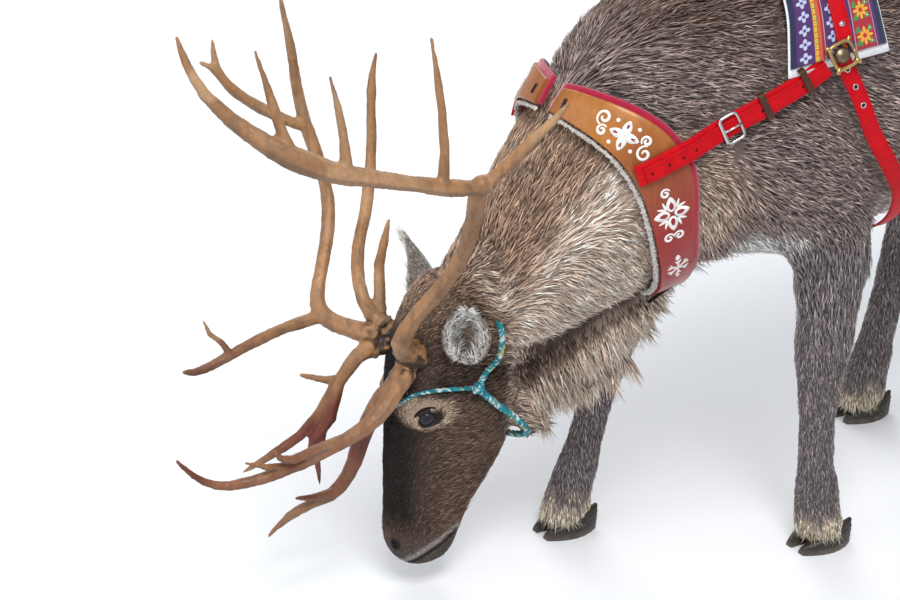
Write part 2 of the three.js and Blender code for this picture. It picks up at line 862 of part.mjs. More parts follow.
// A flat strap lying on the body through a run of touched places
function strap(spots, halfWidth, thickness, lift) {
  const normals = spots.map((spot, i) => {
    const sum = spot.normal.clone();
    if (i > 0) sum.add(spots[i - 1].normal);
    if (i < spots.length - 1) sum.add(spots[i + 1].normal);
    return sum.normalize();
  });
  return solid(loft(spots.map((spot, i) => {
    const before = spots[Math.max(i - 1, 0)].place;
    const after = spots[Math.min(i + 1, spots.length - 1)].place;
    const along = after.clone().sub(before).normalize();
    const normal = normals[i].addScaledVector(along, -normals[i].dot(along)).normalize();
    const across = normal.clone().cross(along);
    const low = spot.lift ?? lift;
    const at = (w, h) => spot.place.clone().addScaledVector(across, w).addScaledVector(normal, h);
    return [
      at(-halfWidth, low),
      at(halfWidth, low),
      at(halfWidth, low + thickness - 0.8),
      at(halfWidth - 1, low + thickness),
      at(-halfWidth + 1, low + thickness),
      at(-halfWidth, low + thickness - 0.8),
    ];
  })));
}

// Directions of the collar's own plane
const collarForward = point(...NECK_PLANE_NORMAL).normalize().negate();
const collarUp = collarForward.clone().cross(LEFT).normalize();
const collarMiddle = point(...NECK_PLANE_PLACE);
function onCollar(degrees, forward, lift, side) {
  const angle = THREE.MathUtils.degToRad(degrees) * side;
  const way = collarUp.clone().multiplyScalar(Math.cos(angle)).addScaledVector(LEFT, Math.sin(angle));
  const inside = collarMiddle.clone().addScaledVector(collarForward, forward);
  return touch(inside, way, neckCoat).place.addScaledVector(way, lift);
}

// A curved plate round the neck between two edges, from one lift to another
function collarPlate(side, rearExtra, frontExtra, low, high, crown) {
  const acrossSteps = 3;
  const rows = smoothRows(COLLAR, 2);
  return solid(loft(rows.map(([degrees, rear, front]) => {
    const loop = [];
    for (let j = 0; j <= acrossSteps; j += 1) {
      const t = j / acrossSteps;
      const forward = THREE.MathUtils.lerp(rear - rearExtra, front + frontExtra, t);
      loop.push(onCollar(degrees, forward, high + crown * Math.sin(Math.PI * t), side));
    }
    for (let j = acrossSteps; j >= 0; j -= 1) {
      const t = j / acrossSteps;
      const forward = THREE.MathUtils.lerp(rear - rearExtra, front + frontExtra, t);
      loop.push(onCollar(degrees, forward, low, side));
    }
    return loop;
  })));
}

// The fleece roll along the front edge of the collar
function fleece(side) {
  const rows = smoothRows(COLLAR, 2).map(([degrees, , front]) => {
    const p = onCollar(degrees, front + 7, 8.5, side);
    return [p.x, p.y, p.z, 5.5];
  });
  return solid(limb(rows, 6, 1, 0.12, 31));
}

// Places over the back and under the belly, by angle above the left or right side
function round(degrees, along, lift, side) {
  const angle = THREE.MathUtils.degToRad(degrees);
  const way = point(0, -side * Math.cos(angle), Math.sin(angle));
  const spot = touch(point(along, 0, 790), way);
  return { ...spot, lift };
}

function trace(side) {
  const spots = TRACE.map(([along, height, lift]) => {
    const spot = touch(point(along, 0, height), point(0, -side, 0));
    return { ...spot, lift };
  });
  const lower = strap(spots, TRACE_HALF_WIDTH, LEATHER, 2);
  const upper = spots.slice(1).map((spot) => ({ ...spot, lift: spot.lift + LEATHER - 0.4 }));
  return lower.add(strap(upper, TRACE_HALF_WIDTH - 5, LEATHER, 2));
}

function girth() {
  const half = GIRTH;
  const left = half.map(([degrees, along]) => round(degrees, along, 5.5, 1));
  const right = half.slice(0, -1).reverse().map(([degrees, along]) => round(degrees, along, 5.5, -1));
  return strap([...left, ...right], GIRTH_HALF_WIDTH, LEATHER, 2);
}

function overBack(from, along, lift, halfWidth) {
  const spots = [];
  const steps = 12;
  for (let i = 0; i <= steps; i += 1) {
    const degrees = from + ((180 - 2 * from) * i) / steps;
    spots.push(round(degrees, along, lift, 1));
  }
  return strap(spots, halfWidth, LEATHER, lift);
}

function pad() {
  const half = smoothRows(PAD, 2);
  const rows = [
    ...half.map(([degrees, front, rear]) => [degrees, front, rear]),
    ...half.slice(0, -1).reverse().map(([degrees, front, rear]) => [180 - degrees, front, rear]),
  ];
  const acrossSteps = 4;
  return solid(loft(rows.map(([degrees, front, rear]) => {
    const loop = [];
    const spot = (t, lift) => {
      const found = round(degrees, THREE.MathUtils.lerp(front, rear, t), 0, 1);
      return found.place.addScaledVector(found.normal, lift);
    };
    for (let j = 0; j <= acrossSteps; j += 1) {
      const t = j / acrossSteps;
      loop.push(spot(t, 4 + PAD_THICKNESS * (0.72 + 0.28 * Math.sin(Math.PI * t))));
    }
    for (let j = acrossSteps; j >= 0; j -= 1) loop.push(spot(j / acrossSteps, 4));
    return loop;
  })));
}

// A plate of a flat outline, with or without a window, lying on a touched place
function platelet(outline, thickness, spot, lift, upward) {
  const slab = new THREE.ExtrudeGeometry(outline,
    { depth: thickness, bevelEnabled: false, curveSegments: 6 });
  const normal = spot.normal.clone().normalize();
  const up = upward.clone().addScaledVector(normal, -upward.dot(normal)).normalize();
  const across = up.clone().cross(normal);
  const matrix = new THREE.Matrix4().makeBasis(across, up, normal);
  matrix.setPosition(spot.place.clone().addScaledVector(normal, lift));
  slab.applyMatrix4(matrix);
  return solid(slab);
}

function framed(width, height, bar) {
  const outline = new THREE.Shape();
  outline.moveTo(-width / 2, -height / 2);
  outline.lineTo(width / 2, -height / 2);
  outline.lineTo(width / 2, height / 2);
  outline.lineTo(-width / 2, height / 2);
  outline.closePath();
  const gap = new THREE.Path();
  gap.moveTo(-width / 2 + bar, -height / 2 + bar);
  gap.lineTo(-width / 2 + bar, height / 2 - bar);
  gap.lineTo(width / 2 - bar, height / 2 - bar);
  gap.lineTo(width / 2 - bar, -height / 2 + bar);
  gap.closePath();
  outline.holes.push(gap);
  return outline;
}

function buckle(side) {
  const spot = touch(point(-163, 0, 851), point(0, -side, 0));
  return platelet(framed(40, 32, 4.5), 4, spot, 11, point(-0.42, 0, -0.2).negate());
}

// The fitting where trace, girth and back strap meet: a ring with three flat arms
function fitting(side) {
  const spot = round(FITTING_PLACE[1], FITTING_PLACE[0], 0, side);
  const outline = new THREE.Shape();
  const arms = 4;
  for (let i = 0; i < arms * 6; i += 1) {
    const angle = (i / (arms * 6)) * Math.PI * 2;
    const reach = i % 6 === 0 || i % 6 === 1 ? 27 : 17;
    const x = Math.cos(angle) * reach;
    const y = Math.sin(angle) * reach;
    if (i === 0) outline.moveTo(x, y);
    else outline.lineTo(x, y);
  }
  outline.closePath();
  const hole = new THREE.Path();
  hole.absarc(0, 0, 9, 0, Math.PI * 2, true);
  outline.holes.push(hole);
  return platelet(outline, 7, spot, PAD_THICKNESS + 11, UP);
}

// Halter: three arcs of rope between a knot on each cheek
function halter() {
  const arc = (rows) => {
    const spots = smoothRows(rows, 2).map(([forward, left, height, wayForward, wayLeft, wayUp]) => {
      const way = headForward.clone().multiplyScalar(wayForward)
        .addScaledVector(headLeft, wayLeft)
        .addScaledVector(UP, wayUp);
      const { place } = touch(headPoint(forward, left, height), way);
      place.addScaledVector(way.normalize(), ROPE_RADIUS + 2.2);
      return [place.x, place.y, place.z, ROPE_RADIUS];
    });
    return solid(limb(spots, 5, 1));
  };
  const brow = arc([
    [-130, 0, 388, 0, 1, 0],
    [-95, 0, 390, 0.15, 1, 0],
    [-70, 0, 378, 0.7, 1, 0],
    [-70, 0, 352, 1, 0.55, 0],
    [-70, 0, 338, 1, 0, 0],
    [-70, 0, 352, 1, -0.55, 0],
    [-70, 0, 378, 0.7, -1, 0],
    [-95, 0, 390, 0.15, -1, 0],
    [-130, 0, 388, 0, -1, 0],
  ]);
  const throat = arc([
    [-130, 0, 388, 0, 1, 0],
    [-164, 0, 348, 0, 1, 0],
    [-190, 0, 300, -0.35, 1, 0],
    [-170, 0, 262, -1, 0.8, 0],
    [-170, 0, 250, -1, 0, 0],
    [-170, 0, 262, -1, -0.8, 0],
    [-190, 0, 300, -0.35, -1, 0],
    [-164, 0, 348, 0, -1, 0],
    [-130, 0, 388, 0, -1, 0],
  ]);
  const crown = arc([
    [-130, 0, 388, 0, 1, 0],
    [-136, 0, 424, -0.1, 1, 0],
    [-140, 0, 462, -0.2, 1, 0],
    [-132, 0, 496, -0.05, 1, 0.1],
    [-122, 0, 522, 0.45, 0.9, 0.25],
    [-115, 0, 536, 1, 0.45, 0.4],
    [-115, 0, 540, 1, 0, 0.45],
    [-115, 0, 536, 1, -0.45, 0.4],
    [-122, 0, 522, 0.45, -0.9, 0.25],
    [-132, 0, 496, -0.05, -1, 0.1],
    [-140, 0, 462, -0.2, -1, 0],
    [-136, 0, 424, -0.1, -1, 0],
    [-130, 0, 388, 0, -1, 0],
  ]);
  const knot = (side) => {
    const { place } = touch(headPoint(-130, 0, 388), headLeft.clone().multiplyScalar(side));
    const lump = new THREE.SphereGeometry(10, 8, 6);
    lump.translate(place.x, place.y, place.z);
    lump.translate(headLeft.x * side * 6, headLeft.y * side * 6, 0);
    return solid(lump);
  };
  return joined([brow, throat, crown, knot(1), knot(-1)]);
}

const FLESH_DARK = 0x4a3b30;
const FLESH_GREY = 0x8d8478;
const HORN = 0xa87f52;
const HOOF = 0x2a2622;
const RED = 0xb3141c;
const BRASS = 0xa68a4c;

// The body cut at the poll and at the collar
const neckNormal = point(...NECK_PLANE_NORMAL).normalize();
const neckOffset = neckNormal.dot(point(...NECK_PLANE_PLACE));
const pollNormal = headWay(...POLL_PLANE_NORMAL).normalize();
const pollOffset = pollNormal.dot(headPoint(...POLL_PLANE_PLACE));
const whole = joined([trunkAndNeck, headBlock(), mane()]);
const inFront = (body, normal, offset) => body.trimByPlane(normal.clone().negate().toArray(), -offset);
const behind = (body, normal, offset) => body.trimByPlane(normal.toArray(), offset);
const headAlone = inFront(whole, pollNormal, pollOffset - GAP);
const afterHead = behind(whole, pollNormal, pollOffset);
const neckAlone = inFront(afterHead, neckNormal, neckOffset - GAP);
const trunkAlone = behind(afterHead, neckNormal, neckOffset);

// Pieces in order: where two meet, the later one gives way to the earlier
const pieces = [];
const piece = (name, body, color, roughness = 0.9, metalness = 0, tidy = TIDY) => {
  pieces.push({ name, body, color, roughness, metalness, tidy });
};

piece('eye_left', eye(1), 0x120c08, 0.08);
piece('eye_right', eye(-1), 0x120c08, 0.08);
piece('head', finishedHead(headAlone), FLESH_DARK, 0.9, 0, BODY_TIDY);
piece('neck', neckAlone, 0x9c8b78, 0.9, 0, BODY_TIDY);
piece('torso', trunkAlone, FLESH_GREY, 0.9, 0, BODY_TIDY);
legs.forEach(([name, rows]) => {
  const foot = rows[rows.length - 1];
  piece(`claw_${name}_outer`, claw(foot[0], foot[1], name.endsWith('left') ? -1 : 1), HOOF, 0.5);
  piece(`claw_${name}_inner`, claw(foot[0], foot[1], name.endsWith('left') ? 1 : -1), HOOF, 0.5);
  piece(`dewclaws_${name}`, dewclaws(foot[0] - 8, foot[1]), HOOF, 0.5);
  piece(`leg_${name}_lower`, leg(rows, 8, 13), 0x5d5046);
  piece(`leg_${name}_upper`, leg(rows, 0, 8), FLESH_GREY);
});
piece('tail', tail(), 0xd8cfc0);
piece('antler_left_beam', branch(LEFT_BEAM, 11), HORN, 0.6);
piece('antler_left_rear', branch(LEFT_REAR, 12), HORN, 0.6);
piece('antler_left_palm', branches(LEFT_PALM, LEFT_PALM_TINES, 13), HORN, 0.6);
piece('antler_left_brow', branches(LEFT_BROW, LEFT_BROW_PRONGS, 14), HORN, 0.6);
piece('antler_left_shovel', branches(LEFT_SHOVEL, LEFT_SHOVEL_PRONGS, 15), HORN, 0.6);
piece('antler_right_beam', branch(RIGHT_BEAM, 16), HORN, 0.6);
piece('antler_right_fork', branches(RIGHT_FORK, RIGHT_FORK_PRONGS, 17), HORN, 0.6);
piece('antler_right_brow', branches(RIGHT_BROW, RIGHT_BROW_PRONGS, 18), HORN, 0.6);
piece('antler_right_rear', branches(RIGHT_REAR, RIGHT_REAR_PRONGS, 19), HORN, 0.6);
piece('antler_right_shovel', branches(RIGHT_SHOVEL, RIGHT_SHOVEL_PRONGS, 20), HORN, 0.6);

const sides = [['left', 1], ['right', -1]];
sides.forEach(([name, side]) => {
  const boardFrom = COLLAR_FELT + 1.6;
  const board = collarPlate(side, 0, 0, boardFrom, boardFrom + COLLAR_BOARD, 1.5);
  piece(`collar_board_${name}`, board, 0xa53a1c, 0.35);
  piece(`collar_felt_${name}`, collarPlate(side, 7, -2, 5.5, COLLAR_FELT, 0), 0xa30f2c);
  piece(`collar_fleece_${name}`, fleece(side), 0xe9e2d4);
  piece(`trace_${name}`, trace(side), RED, 0.5);
  piece(`buckle_${name}`, buckle(side), 0xb9bcc0, 0.3, 1);
  piece(`fitting_${name}`, fitting(side), BRASS, 0.35, 1);
});
piece('back_strap', overBack(41, -4, PAD_THICKNESS + 6.5, 13), RED, 0.5);
piece('saddle_pad', pad(), 0x3a2a66);
piece('girth', girth(), RED, 0.5);
piece('halter_rope', halter(), 0x1d7f8c, 0.8);
const earLeft = ear(headPoint(-106, 92, 452), headWay(0.18, 0.47, 0.86), headWay(0.5, 0.8, 0.05));
piece('ear_left', earLeft, FLESH_GREY);
const earRight = ear(headPoint(-108, -84, 450), headWay(0.05, -0.56, 0.83), headWay(0.85, -0.4, 0));
piece('ear_right', earRight, FLESH_GREY);

// Make room between neighbours, then build the named meshes
const animal = new THREE.Group();
const done = [];
pieces.forEach(({ name, body, color, roughness, metalness, tidy }) => {
  const box = body.boundingBox();
  const near = done.filter((other) => [0, 1, 2].every((k) => (
    box.min[k] <= other.box.max[k] + 1 && box.max[k] >= other.box.min[k] - 1
  )));
  let cut = body;
  near.forEach((other) => {
    other.grown ??= swollen(other.body, GAP);
    cut = cut.subtract(other.grown);
  });
  let geometry = surface(cut, tidy);
  [1.5, 3, 5].forEach((times) => {
    const shape = solid(geometry);
    const tight = near.filter((other) => shape.intersect(other.body).volume() > 1e-4);
    if (tight.length === 0) return;
    const room = wasm.Manifold.cube([0, 1, 2].map((k) => box.max[k] - box.min[k] + 8))
      .translate([0, 1, 2].map((k) => box.min[k] - 4));
    tight.forEach((other) => {
      cut = cut.subtract(spread(other.body.intersect(room), GAP * times));
    });
    geometry = surface(cut, tidy);
  });
  geometry.computeVertexNormals();
  const mesh = new THREE.Mesh(geometry, new THREE.MeshStandardMaterial({ color, roughness, metalness }));
  mesh.name = name;
  animal.add(mesh);
  done.push({ body: solid(geometry), box });
});

// The whole animal stands on the ground with its middle over the origin
const reindeer = new THREE.Group();
reindeer.add(animal);
const extent = new THREE.Box3().setFromObject(animal);
animal.position.set(
  -(extent.min.x + extent.max.x) / 2,
  -(extent.min.y + extent.max.y) / 2,
  -extent.min.z,
);

export default reindeer;
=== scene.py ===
"""Reindeer in pulling harness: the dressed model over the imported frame."""
import math
from types import SimpleNamespace

import bmesh
import bpy
import numpy as np
from bpy.props import FloatProperty, FloatVectorProperty, IntProperty, PointerProperty
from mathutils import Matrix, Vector
from mathutils.bvhtree import BVHTree


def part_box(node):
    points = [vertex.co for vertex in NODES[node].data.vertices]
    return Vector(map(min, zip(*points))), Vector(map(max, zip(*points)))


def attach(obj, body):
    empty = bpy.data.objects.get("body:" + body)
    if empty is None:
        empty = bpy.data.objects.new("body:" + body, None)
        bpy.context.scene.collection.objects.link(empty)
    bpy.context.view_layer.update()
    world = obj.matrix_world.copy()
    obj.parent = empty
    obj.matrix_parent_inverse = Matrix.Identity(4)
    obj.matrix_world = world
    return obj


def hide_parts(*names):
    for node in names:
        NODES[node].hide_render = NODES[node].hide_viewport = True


bl_info = {
    "name": "Reindeer in harness",
    "version": (1, 0, 0),
    "blender": (4, 5, 0),
    "location": "View3D > Sidebar > Reindeer",
    "description": "Builds the coat, antlers, eyes, hooves and harness of a life-size reindeer",
    "category": "Object",
}

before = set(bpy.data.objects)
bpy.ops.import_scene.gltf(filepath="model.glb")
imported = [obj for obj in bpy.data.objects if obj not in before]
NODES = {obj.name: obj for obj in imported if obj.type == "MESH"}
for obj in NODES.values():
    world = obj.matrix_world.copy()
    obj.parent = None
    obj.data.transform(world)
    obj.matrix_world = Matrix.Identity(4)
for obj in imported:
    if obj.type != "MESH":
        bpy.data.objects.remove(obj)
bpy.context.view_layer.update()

# Sizes in millimetres. Forward is -X, the animal's left is -Y, up is +Z.
HEAD_FRONT = np.array([-605.0, 150.0, 0.0])
HEAD_TURN = math.radians(10)
EYE_PLACE = (-50.0, 66.0, 343.0)
EYE_RADIUS = 17.0
HEAD_FORWARD = np.array([-math.cos(HEAD_TURN), math.sin(HEAD_TURN), 0.0])
HEAD_LEFT = np.array([-math.sin(HEAD_TURN), -math.cos(HEAD_TURN), 0.0])
UP = np.array([0.0, 0.0, 1.0])
LEFT = np.array([0.0, -1.0, 0.0])


def head_point(forward, left, height):
    """A place on the head, from its own forward, left and height."""
    base = HEAD_FRONT + np.multiply.outer(forward, HEAD_FORWARD) + np.multiply.outer(left, HEAD_LEFT)
    return base + np.multiply.outer(height, UP)


def eye_point(way):
    """The middle of the left eye for a way of 1, or of the right eye for -1."""
    return head_point(EYE_PLACE[0], EYE_PLACE[1] * way, EYE_PLACE[2])


def polar(degrees, radius):
    """A place in two dimensions, from its angle and its distance."""
    return math.cos(math.radians(degrees)) * radius, math.sin(math.radians(degrees)) * radius


eye_low, eye_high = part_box("eye_left")
SHIFT = (np.array(eye_low) + np.array(eye_high)) * 500.0 - eye_point(1)
SHIFT[2] = 0.0

FLESH = ["torso", "neck", "head", "tail"] + [
    f"leg_{end}_{side}_{half}"
    for end in ("front", "hind") for side in ("left", "right") for half in ("upper", "lower")
]
LEGS = [number for number, name in enumerate(FLESH) if name.startswith("leg")]
LOWER_LEGS = [number for number, name in enumerate(FLESH) if name.endswith("lower")]
ANTLERS = {
    "left": ["beam", "rear", "palm", "brow", "shovel"],
    "right": ["beam", "fork", "brow", "rear", "shovel"],
}
# Middles of the knobs of horn that join a tine to its beam.
TINE_JOINTS = {"left": ((-602.0, -130.0, 824.0),), "right": ()}
FEET = {
    "front_left": (90, -135), "front_right": (-246, 140),
    "hind_left": (802, -150), "hind_right": (460, 174),
}
# The head lies in front of this place, in X.
POLL_X = -330.0
# Rays for the harness start on this height inside the trunk.
CAST_HEIGHT = 790
# The throat line, as X and height, and the smooth keel under it: X, then the middle's Y and height, and its
# half width and half height.
KEEL = ((-470, 480), (-415, 468), (-372, 485), (-318, 508), (-262, 535), (-200, 568), (-140, 590), (-90, 600))
MANE = (
    (-438, 92, 400, 20, 40), (-415, 74, 395, 40, 65), (-372, 44, 415, 52, 77), (-345, 30, 432, 54, 62),
    (-318, 16, 432, 58, 76), (-290, 10, 440, 60, 90), (-262, 4, 465, 60, 88), (-200, 0, 525, 54, 72),
    (-140, 0, 560, 46, 36), (-100, 0, 566, 28, 22),
)
# The neck's middle line: X, Y and height.
NECK_AXIS = (
    (-475, 112, 455), (-430, 50, 585), (-375, 22, 650), (-300, 0, 712), (-215, 0, 760), (-125, 0, 788),
)
# The dark stripe over the mane, as X and depth below the throat line.
STRIPE = ((-480, 112), (-395, 66), (-333, 26), (-238, 14), (-180, 4))
# Nostril and line of the mouth, on the head.
NOSTRIL = (-6.0, 27.0, 90.0)
MOUTH = ((-28.0, 42.0), (-36.0, 60.0), (-56.0, 76.0), (-80.0, 88.0), (-106.0, 101.0))
# Sizes of the voxels for the skin, the head, the antlers, the ears and the hooves.
SKIN_VOXEL, HEAD_VOXEL, ANTLER_VOXEL, EAR_VOXEL, HOOF_VOXEL = 8.5, 2.2, 2.8, 2.0, 1.9
MOST_FACES = 190000
# How a tuft is made: which of its five points each of its faces joins, and how far along it each point is.
TUFT_FACES = np.array([[0, 2, 1], [0, 1, 3], [0, 3, 2], [4, 1, 2], [4, 3, 1], [4, 2, 3]])
TUFT_TONE = np.array([0.0, 0.62, 0.62, 0.72, 1.0])


class ReindeerCoat(bpy.types.PropertyGroup):
    """Length, width and number of the tufts of fur."""

    body_length: FloatProperty(
        name="Body tuft length", description="Length of a tuft on the trunk", default=0.040, unit="LENGTH")
    neck_length: FloatProperty(
        name="Neck tuft length", description="Length of a tuft on the neck", default=0.040, unit="LENGTH")
    mane_length: FloatProperty(
        name="Mane tuft length", description="Length of a lock of the throat mane", default=0.058, unit="LENGTH")
    face_length: FloatProperty(
        name="Face tuft length", description="Length of a tuft on the cheeks", default=0.021, unit="LENGTH")
    leg_length: FloatProperty(
        name="Leg tuft length", description="Length of a tuft on the lower legs", default=0.017, unit="LENGTH")
    share: FloatProperty(
        name="Share of tufts", description="Share of the full number of tufts", default=1.0, min=0.05, max=1.0)
    seed: IntProperty(name="Seed", description="Start of the random placing", default=7)


class ReindeerColours(bpy.types.PropertyGroup):
    """Colours of horn, leather, cloth and metal."""

    horn: FloatVectorProperty(
        name="Horn", description="Bare antler", subtype="COLOR", default=(0.33, 0.168, 0.075))
    horn_red: FloatVectorProperty(
        name="Stained horn", description="Antler where velvet came off late", subtype="COLOR",
        default=(0.105, 0.020, 0.013))
    hoof: FloatVectorProperty(
        name="Hoof", description="Hoof horn", subtype="COLOR", default=(0.022, 0.018, 0.015))
    leather: FloatVectorProperty(
        name="Leather", description="Straps", subtype="COLOR", default=(0.50, 0.003, 0.009))
    board_top: FloatVectorProperty(
        name="Collar top", description="Collar board near the crest", subtype="COLOR", default=(0.235, 0.066,
                                                                                                0.016))
    board_foot: FloatVectorProperty(
        name="Collar foot", description="Collar board near the throat", subtype="COLOR",
        default=(0.28, 0.010, 0.008))
    felt: FloatVectorProperty(
        name="Felt", description="Collar lining", subtype="COLOR", default=(0.36, 0.004, 0.035))
    rope: FloatVectorProperty(
        name="Rope", description="Halter rope", subtype="COLOR", default=(0.01, 0.22, 0.27))


def smoothstep(low, high, value):
    """A soft step from 0 at low to 1 at high."""
    t = np.clip((value - low) / (high - low), 0.0, 1.0)
    return t * t * (3 - 2 * t)


def value_noise(p, scale, seed=0):
    """Smooth noise from 0 to 1 at each point."""
    q = p / scale + seed * 17.31
    cell = np.floor(q).astype(np.int64)
    part = q - cell
    part = part * part * (3 - 2 * part)
    total = np.zeros(len(p))
    for dx in (0, 1):
        for dy in (0, 1):
            for dz in (0, 1):
                h = (cell[:, 0] + dx) * 73856093 ^ (cell[:, 1] + dy) * 19349663 ^ (cell[:, 2] + dz) * 83492791
                h = (h ^ (h >> 13)) * 1274126177 & 0xFFFFFFFF
                h = (h ^ (h >> 16)) & 0xFFFF
                weight = (part[:, 0] if dx else 1 - part[:, 0]) * (part[:, 1] if dy else 1 - part[:, 1])
                weight = weight * (part[:, 2] if dz else 1 - part[:, 2])
                total += weight * h / 65535.0
    return total


def unit(v):
    """Vectors of length one."""
    return v / np.maximum(np.linalg.norm(v, axis=-1, keepdims=True), 1e-9)


def table(rows, at, column):
    """One column of a table of rows, between the rows that a place lies in."""
    return np.interp(at, [row[0] for row in rows], [row[column] for row in rows])


def mixed(values, other, share):
    """Rows of values turned into other values, by a share for each row."""
    share = np.reshape(share, (-1, 1))
    return values * (1 - share) + np.asarray(other) * share


def lay_over(rows, values, weight):
    """Puts values over rows of numbers, as strongly as a weight from 0 to 1."""
    rows[:] = mixed(rows, values, np.clip(weight, 0, 1))


def facing_out(points, triangles, middle):
    """Triangles turned so that they face away from a place in the middle."""
    a, b, c = ((points - middle)[triangles[:, k]] for k in range(3))
    return triangles[:, ::-1] if (a * np.cross(b, c)).sum() < 0 else triangles


def triangle_mesh(name, points, triangles, smooth=True):
    """A mesh from arrays of points in millimetres and of triangles."""
    mesh = bpy.data.meshes.new(name)
    mesh.vertices.add(len(points))
    mesh.vertices.foreach_set("co", ((points + SHIFT) / 1000).astype(np.float32).ravel())
    mesh.loops.add(len(triangles) * 3)
    mesh.loops.foreach_set("vertex_index", triangles.astype(np.int32).ravel())
    mesh.polygons.add(len(triangles))
    mesh.polygons.foreach_set("loop_start", np.arange(0, len(triangles) * 3, 3, dtype=np.int32))
    mesh.polygons.foreach_set("use_smooth", np.full(len(triangles), smooth))
    mesh.update(calc_edges=True)
    return mesh


def piece(name, mesh, material, replaces=()):
    """A finished piece that rides on the animal."""
    ob = bpy.data.objects.new(name, mesh)
    bpy.context.scene.collection.objects.link(ob)
    if material is not None:
        mesh.materials.clear()
        mesh.materials.append(material)
    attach(ob, "root")
    if replaces:
        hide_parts(*replaces)
    return ob


def arrays(mesh):
    """Points in millimetres and triangles of a mesh."""
    co = np.empty(len(mesh.vertices) * 3, np.float32)
    mesh.vertices.foreach_get("co", co)
    mesh.calc_loop_triangles()
    tri = np.empty(len(mesh.loop_triangles) * 3, np.int32)
    mesh.loop_triangles.foreach_get("vertices", tri)
    return co.reshape(-1, 3).astype(float) * 1000 - SHIFT, tri.reshape(-1, 3)


def welded(names, swell=0.0):
    """One mesh from copies of CAD nodes, each merged and moved outwards a little."""
    bm = bmesh.new()
    for name in names:
        one = bmesh.new()
        one.from_mesh(NODES[name].data)
        bmesh.ops.remove_doubles(one, verts=one.verts, dist=2e-5)
        one.normal_update()
        for v in one.verts:
            v.co += v.normal * swell / 1000
        mesh = bpy.data.meshes.new("one")
        one.to_mesh(mesh)
        one.free()
        bm.from_mesh(mesh)
        bpy.data.meshes.remove(mesh)
    mesh = bpy.data.meshes.new("welded")
    bm.to_mesh(mesh)
    bm.free()
    return mesh


def triangulated(mesh, cuts=0):
    """The mesh with its edges divided and its faces cut into triangles."""
    bm = bmesh.new()
    bm.from_mesh(mesh)
    if cuts:
        bmesh.ops.subdivide_edges(bm, edges=bm.edges[:], cuts=cuts, use_grid_fill=True)
    bmesh.ops.triangulate(bm, faces=bm.faces)
    bm.to_mesh(mesh)
    bm.free()
    return mesh


def remeshed(mesh, voxel, kept=1):
    """The mesh as one even skin of quads: its largest piece, or as many as asked."""
    ob = bpy.data.objects.new("remesh", mesh)
    bpy.context.scene.collection.objects.link(ob)
    modifier = ob.modifiers.new("Remesh", "REMESH")
    modifier.mode = "VOXEL"
    modifier.voxel_size = voxel / 1000
    deps = bpy.context.evaluated_depsgraph_get()
    made = bpy.data.meshes.new_from_object(ob.evaluated_get(deps))
    bpy.data.objects.remove(ob)
    bm = bmesh.new()
    bm.from_mesh(made)
    seen = set()
    groups = []
    for start in bm.verts:
        if start.index in seen:
            continue
        stack = [start]
        group = []
        seen.add(start.index)
        while stack:
            v = stack.pop()
            group.append(v)
            for e in v.link_edges:
                w = e.other_vert(v)
                if w.index not in seen:
                    seen.add(w.index)
                    stack.append(w)
        groups.append(group)
    groups.sort(key=len, reverse=True)
    if len(groups) > kept:
        bmesh.ops.delete(bm, geom=[v for g in groups[kept:] for v in g], context="VERTS")
    bm.to_mesh(made)
    bm.free()
    return made


def edges_of(mesh):
    """Pairs of points joined by an edge."""
    e = np.empty(len(mesh.edges) * 2, np.int32)
    mesh.edges.foreach_get("vertices", e)
    return e.reshape(-1, 2)


def spread_out(values, edges, rounds, amount=0.5):
    """Values evened out along a mesh's edges."""
    n = len(values)
    degree = np.maximum(np.bincount(edges.ravel(), minlength=n), 1).astype(float)
    flat = values.reshape(n, -1).astype(float)
    for _ in range(rounds):
        out = np.empty_like(flat)
        for k in range(flat.shape[1]):
            column = flat[:, k]
            near = np.bincount(edges[:, 0], weights=column[edges[:, 1]], minlength=n)
            near += np.bincount(edges[:, 1], weights=column[edges[:, 0]], minlength=n)
            out[:, k] = near / degree
        flat = flat * (1 - amount) + out * amount
    return flat.reshape(values.shape)


def rounded(points, edges, rounds, share=1.0):
    """Points smoothed without shrinking much."""
    for _ in range(rounds):
        points = points + (spread_out(points, edges, 1, 1.0) - points) * 0.55 * share
        points = points - (spread_out(points, edges, 1, 1.0) - points) * 0.57 * share
    return points


def point_normals(points, triangles):
    """Unit normals at the points of a triangle mesh."""
    a, b, c = (points[triangles[:, k]] for k in range(3))
    face = np.cross(b - a, c - a)
    normals = np.zeros_like(points)
    for k in range(3):
        for axis in range(3):
            normals[:, axis] += np.bincount(triangles[:, k], weights=face[:, axis], minlength=len(points))
    return unit(normals)


def tree_of(points, triangles):
    """A tree that finds near places on a triangle mesh."""
    return BVHTree.FromPolygons(points.tolist(), triangles.tolist())


def in_head(points):
    """Forward, left and height of points on the head."""
    d = points - HEAD_FRONT
    return d @ HEAD_FORWARD, d @ HEAD_LEFT, points[:, 2]


def before_poll(points):
    """How far points lie in front of the plane where head and neck meet."""
    f, _, h = in_head(points)
    return (f + 188) * 0.907 - (h - 440) * 0.42


def stacked(names):
    """Points and triangles of several CAD nodes, and the number of each triangle's node."""
    points, triangles, owner = [], [], []
    start = 0
    for number, name in enumerate(names):
        p, t = arrays(NODES[name].data)
        points.append(p)
        triangles.append(t + start)
        owner.append(np.full(len(t), number))
        start += len(p)
    return np.vstack(points), np.vstack(triangles), np.concatenate(owner)


def node_tree(names):
    """A tree that finds places on CAD nodes."""
    return tree_of(*stacked(names)[:2])


def nearest_part(points, names):
    """The number of the CAD node nearest to each point."""
    all_points, all_triangles, owner = stacked(names)
    tree = tree_of(all_points, all_triangles)
    return np.array([owner[tree.find_nearest(p)[2]] for p in points.tolist()])


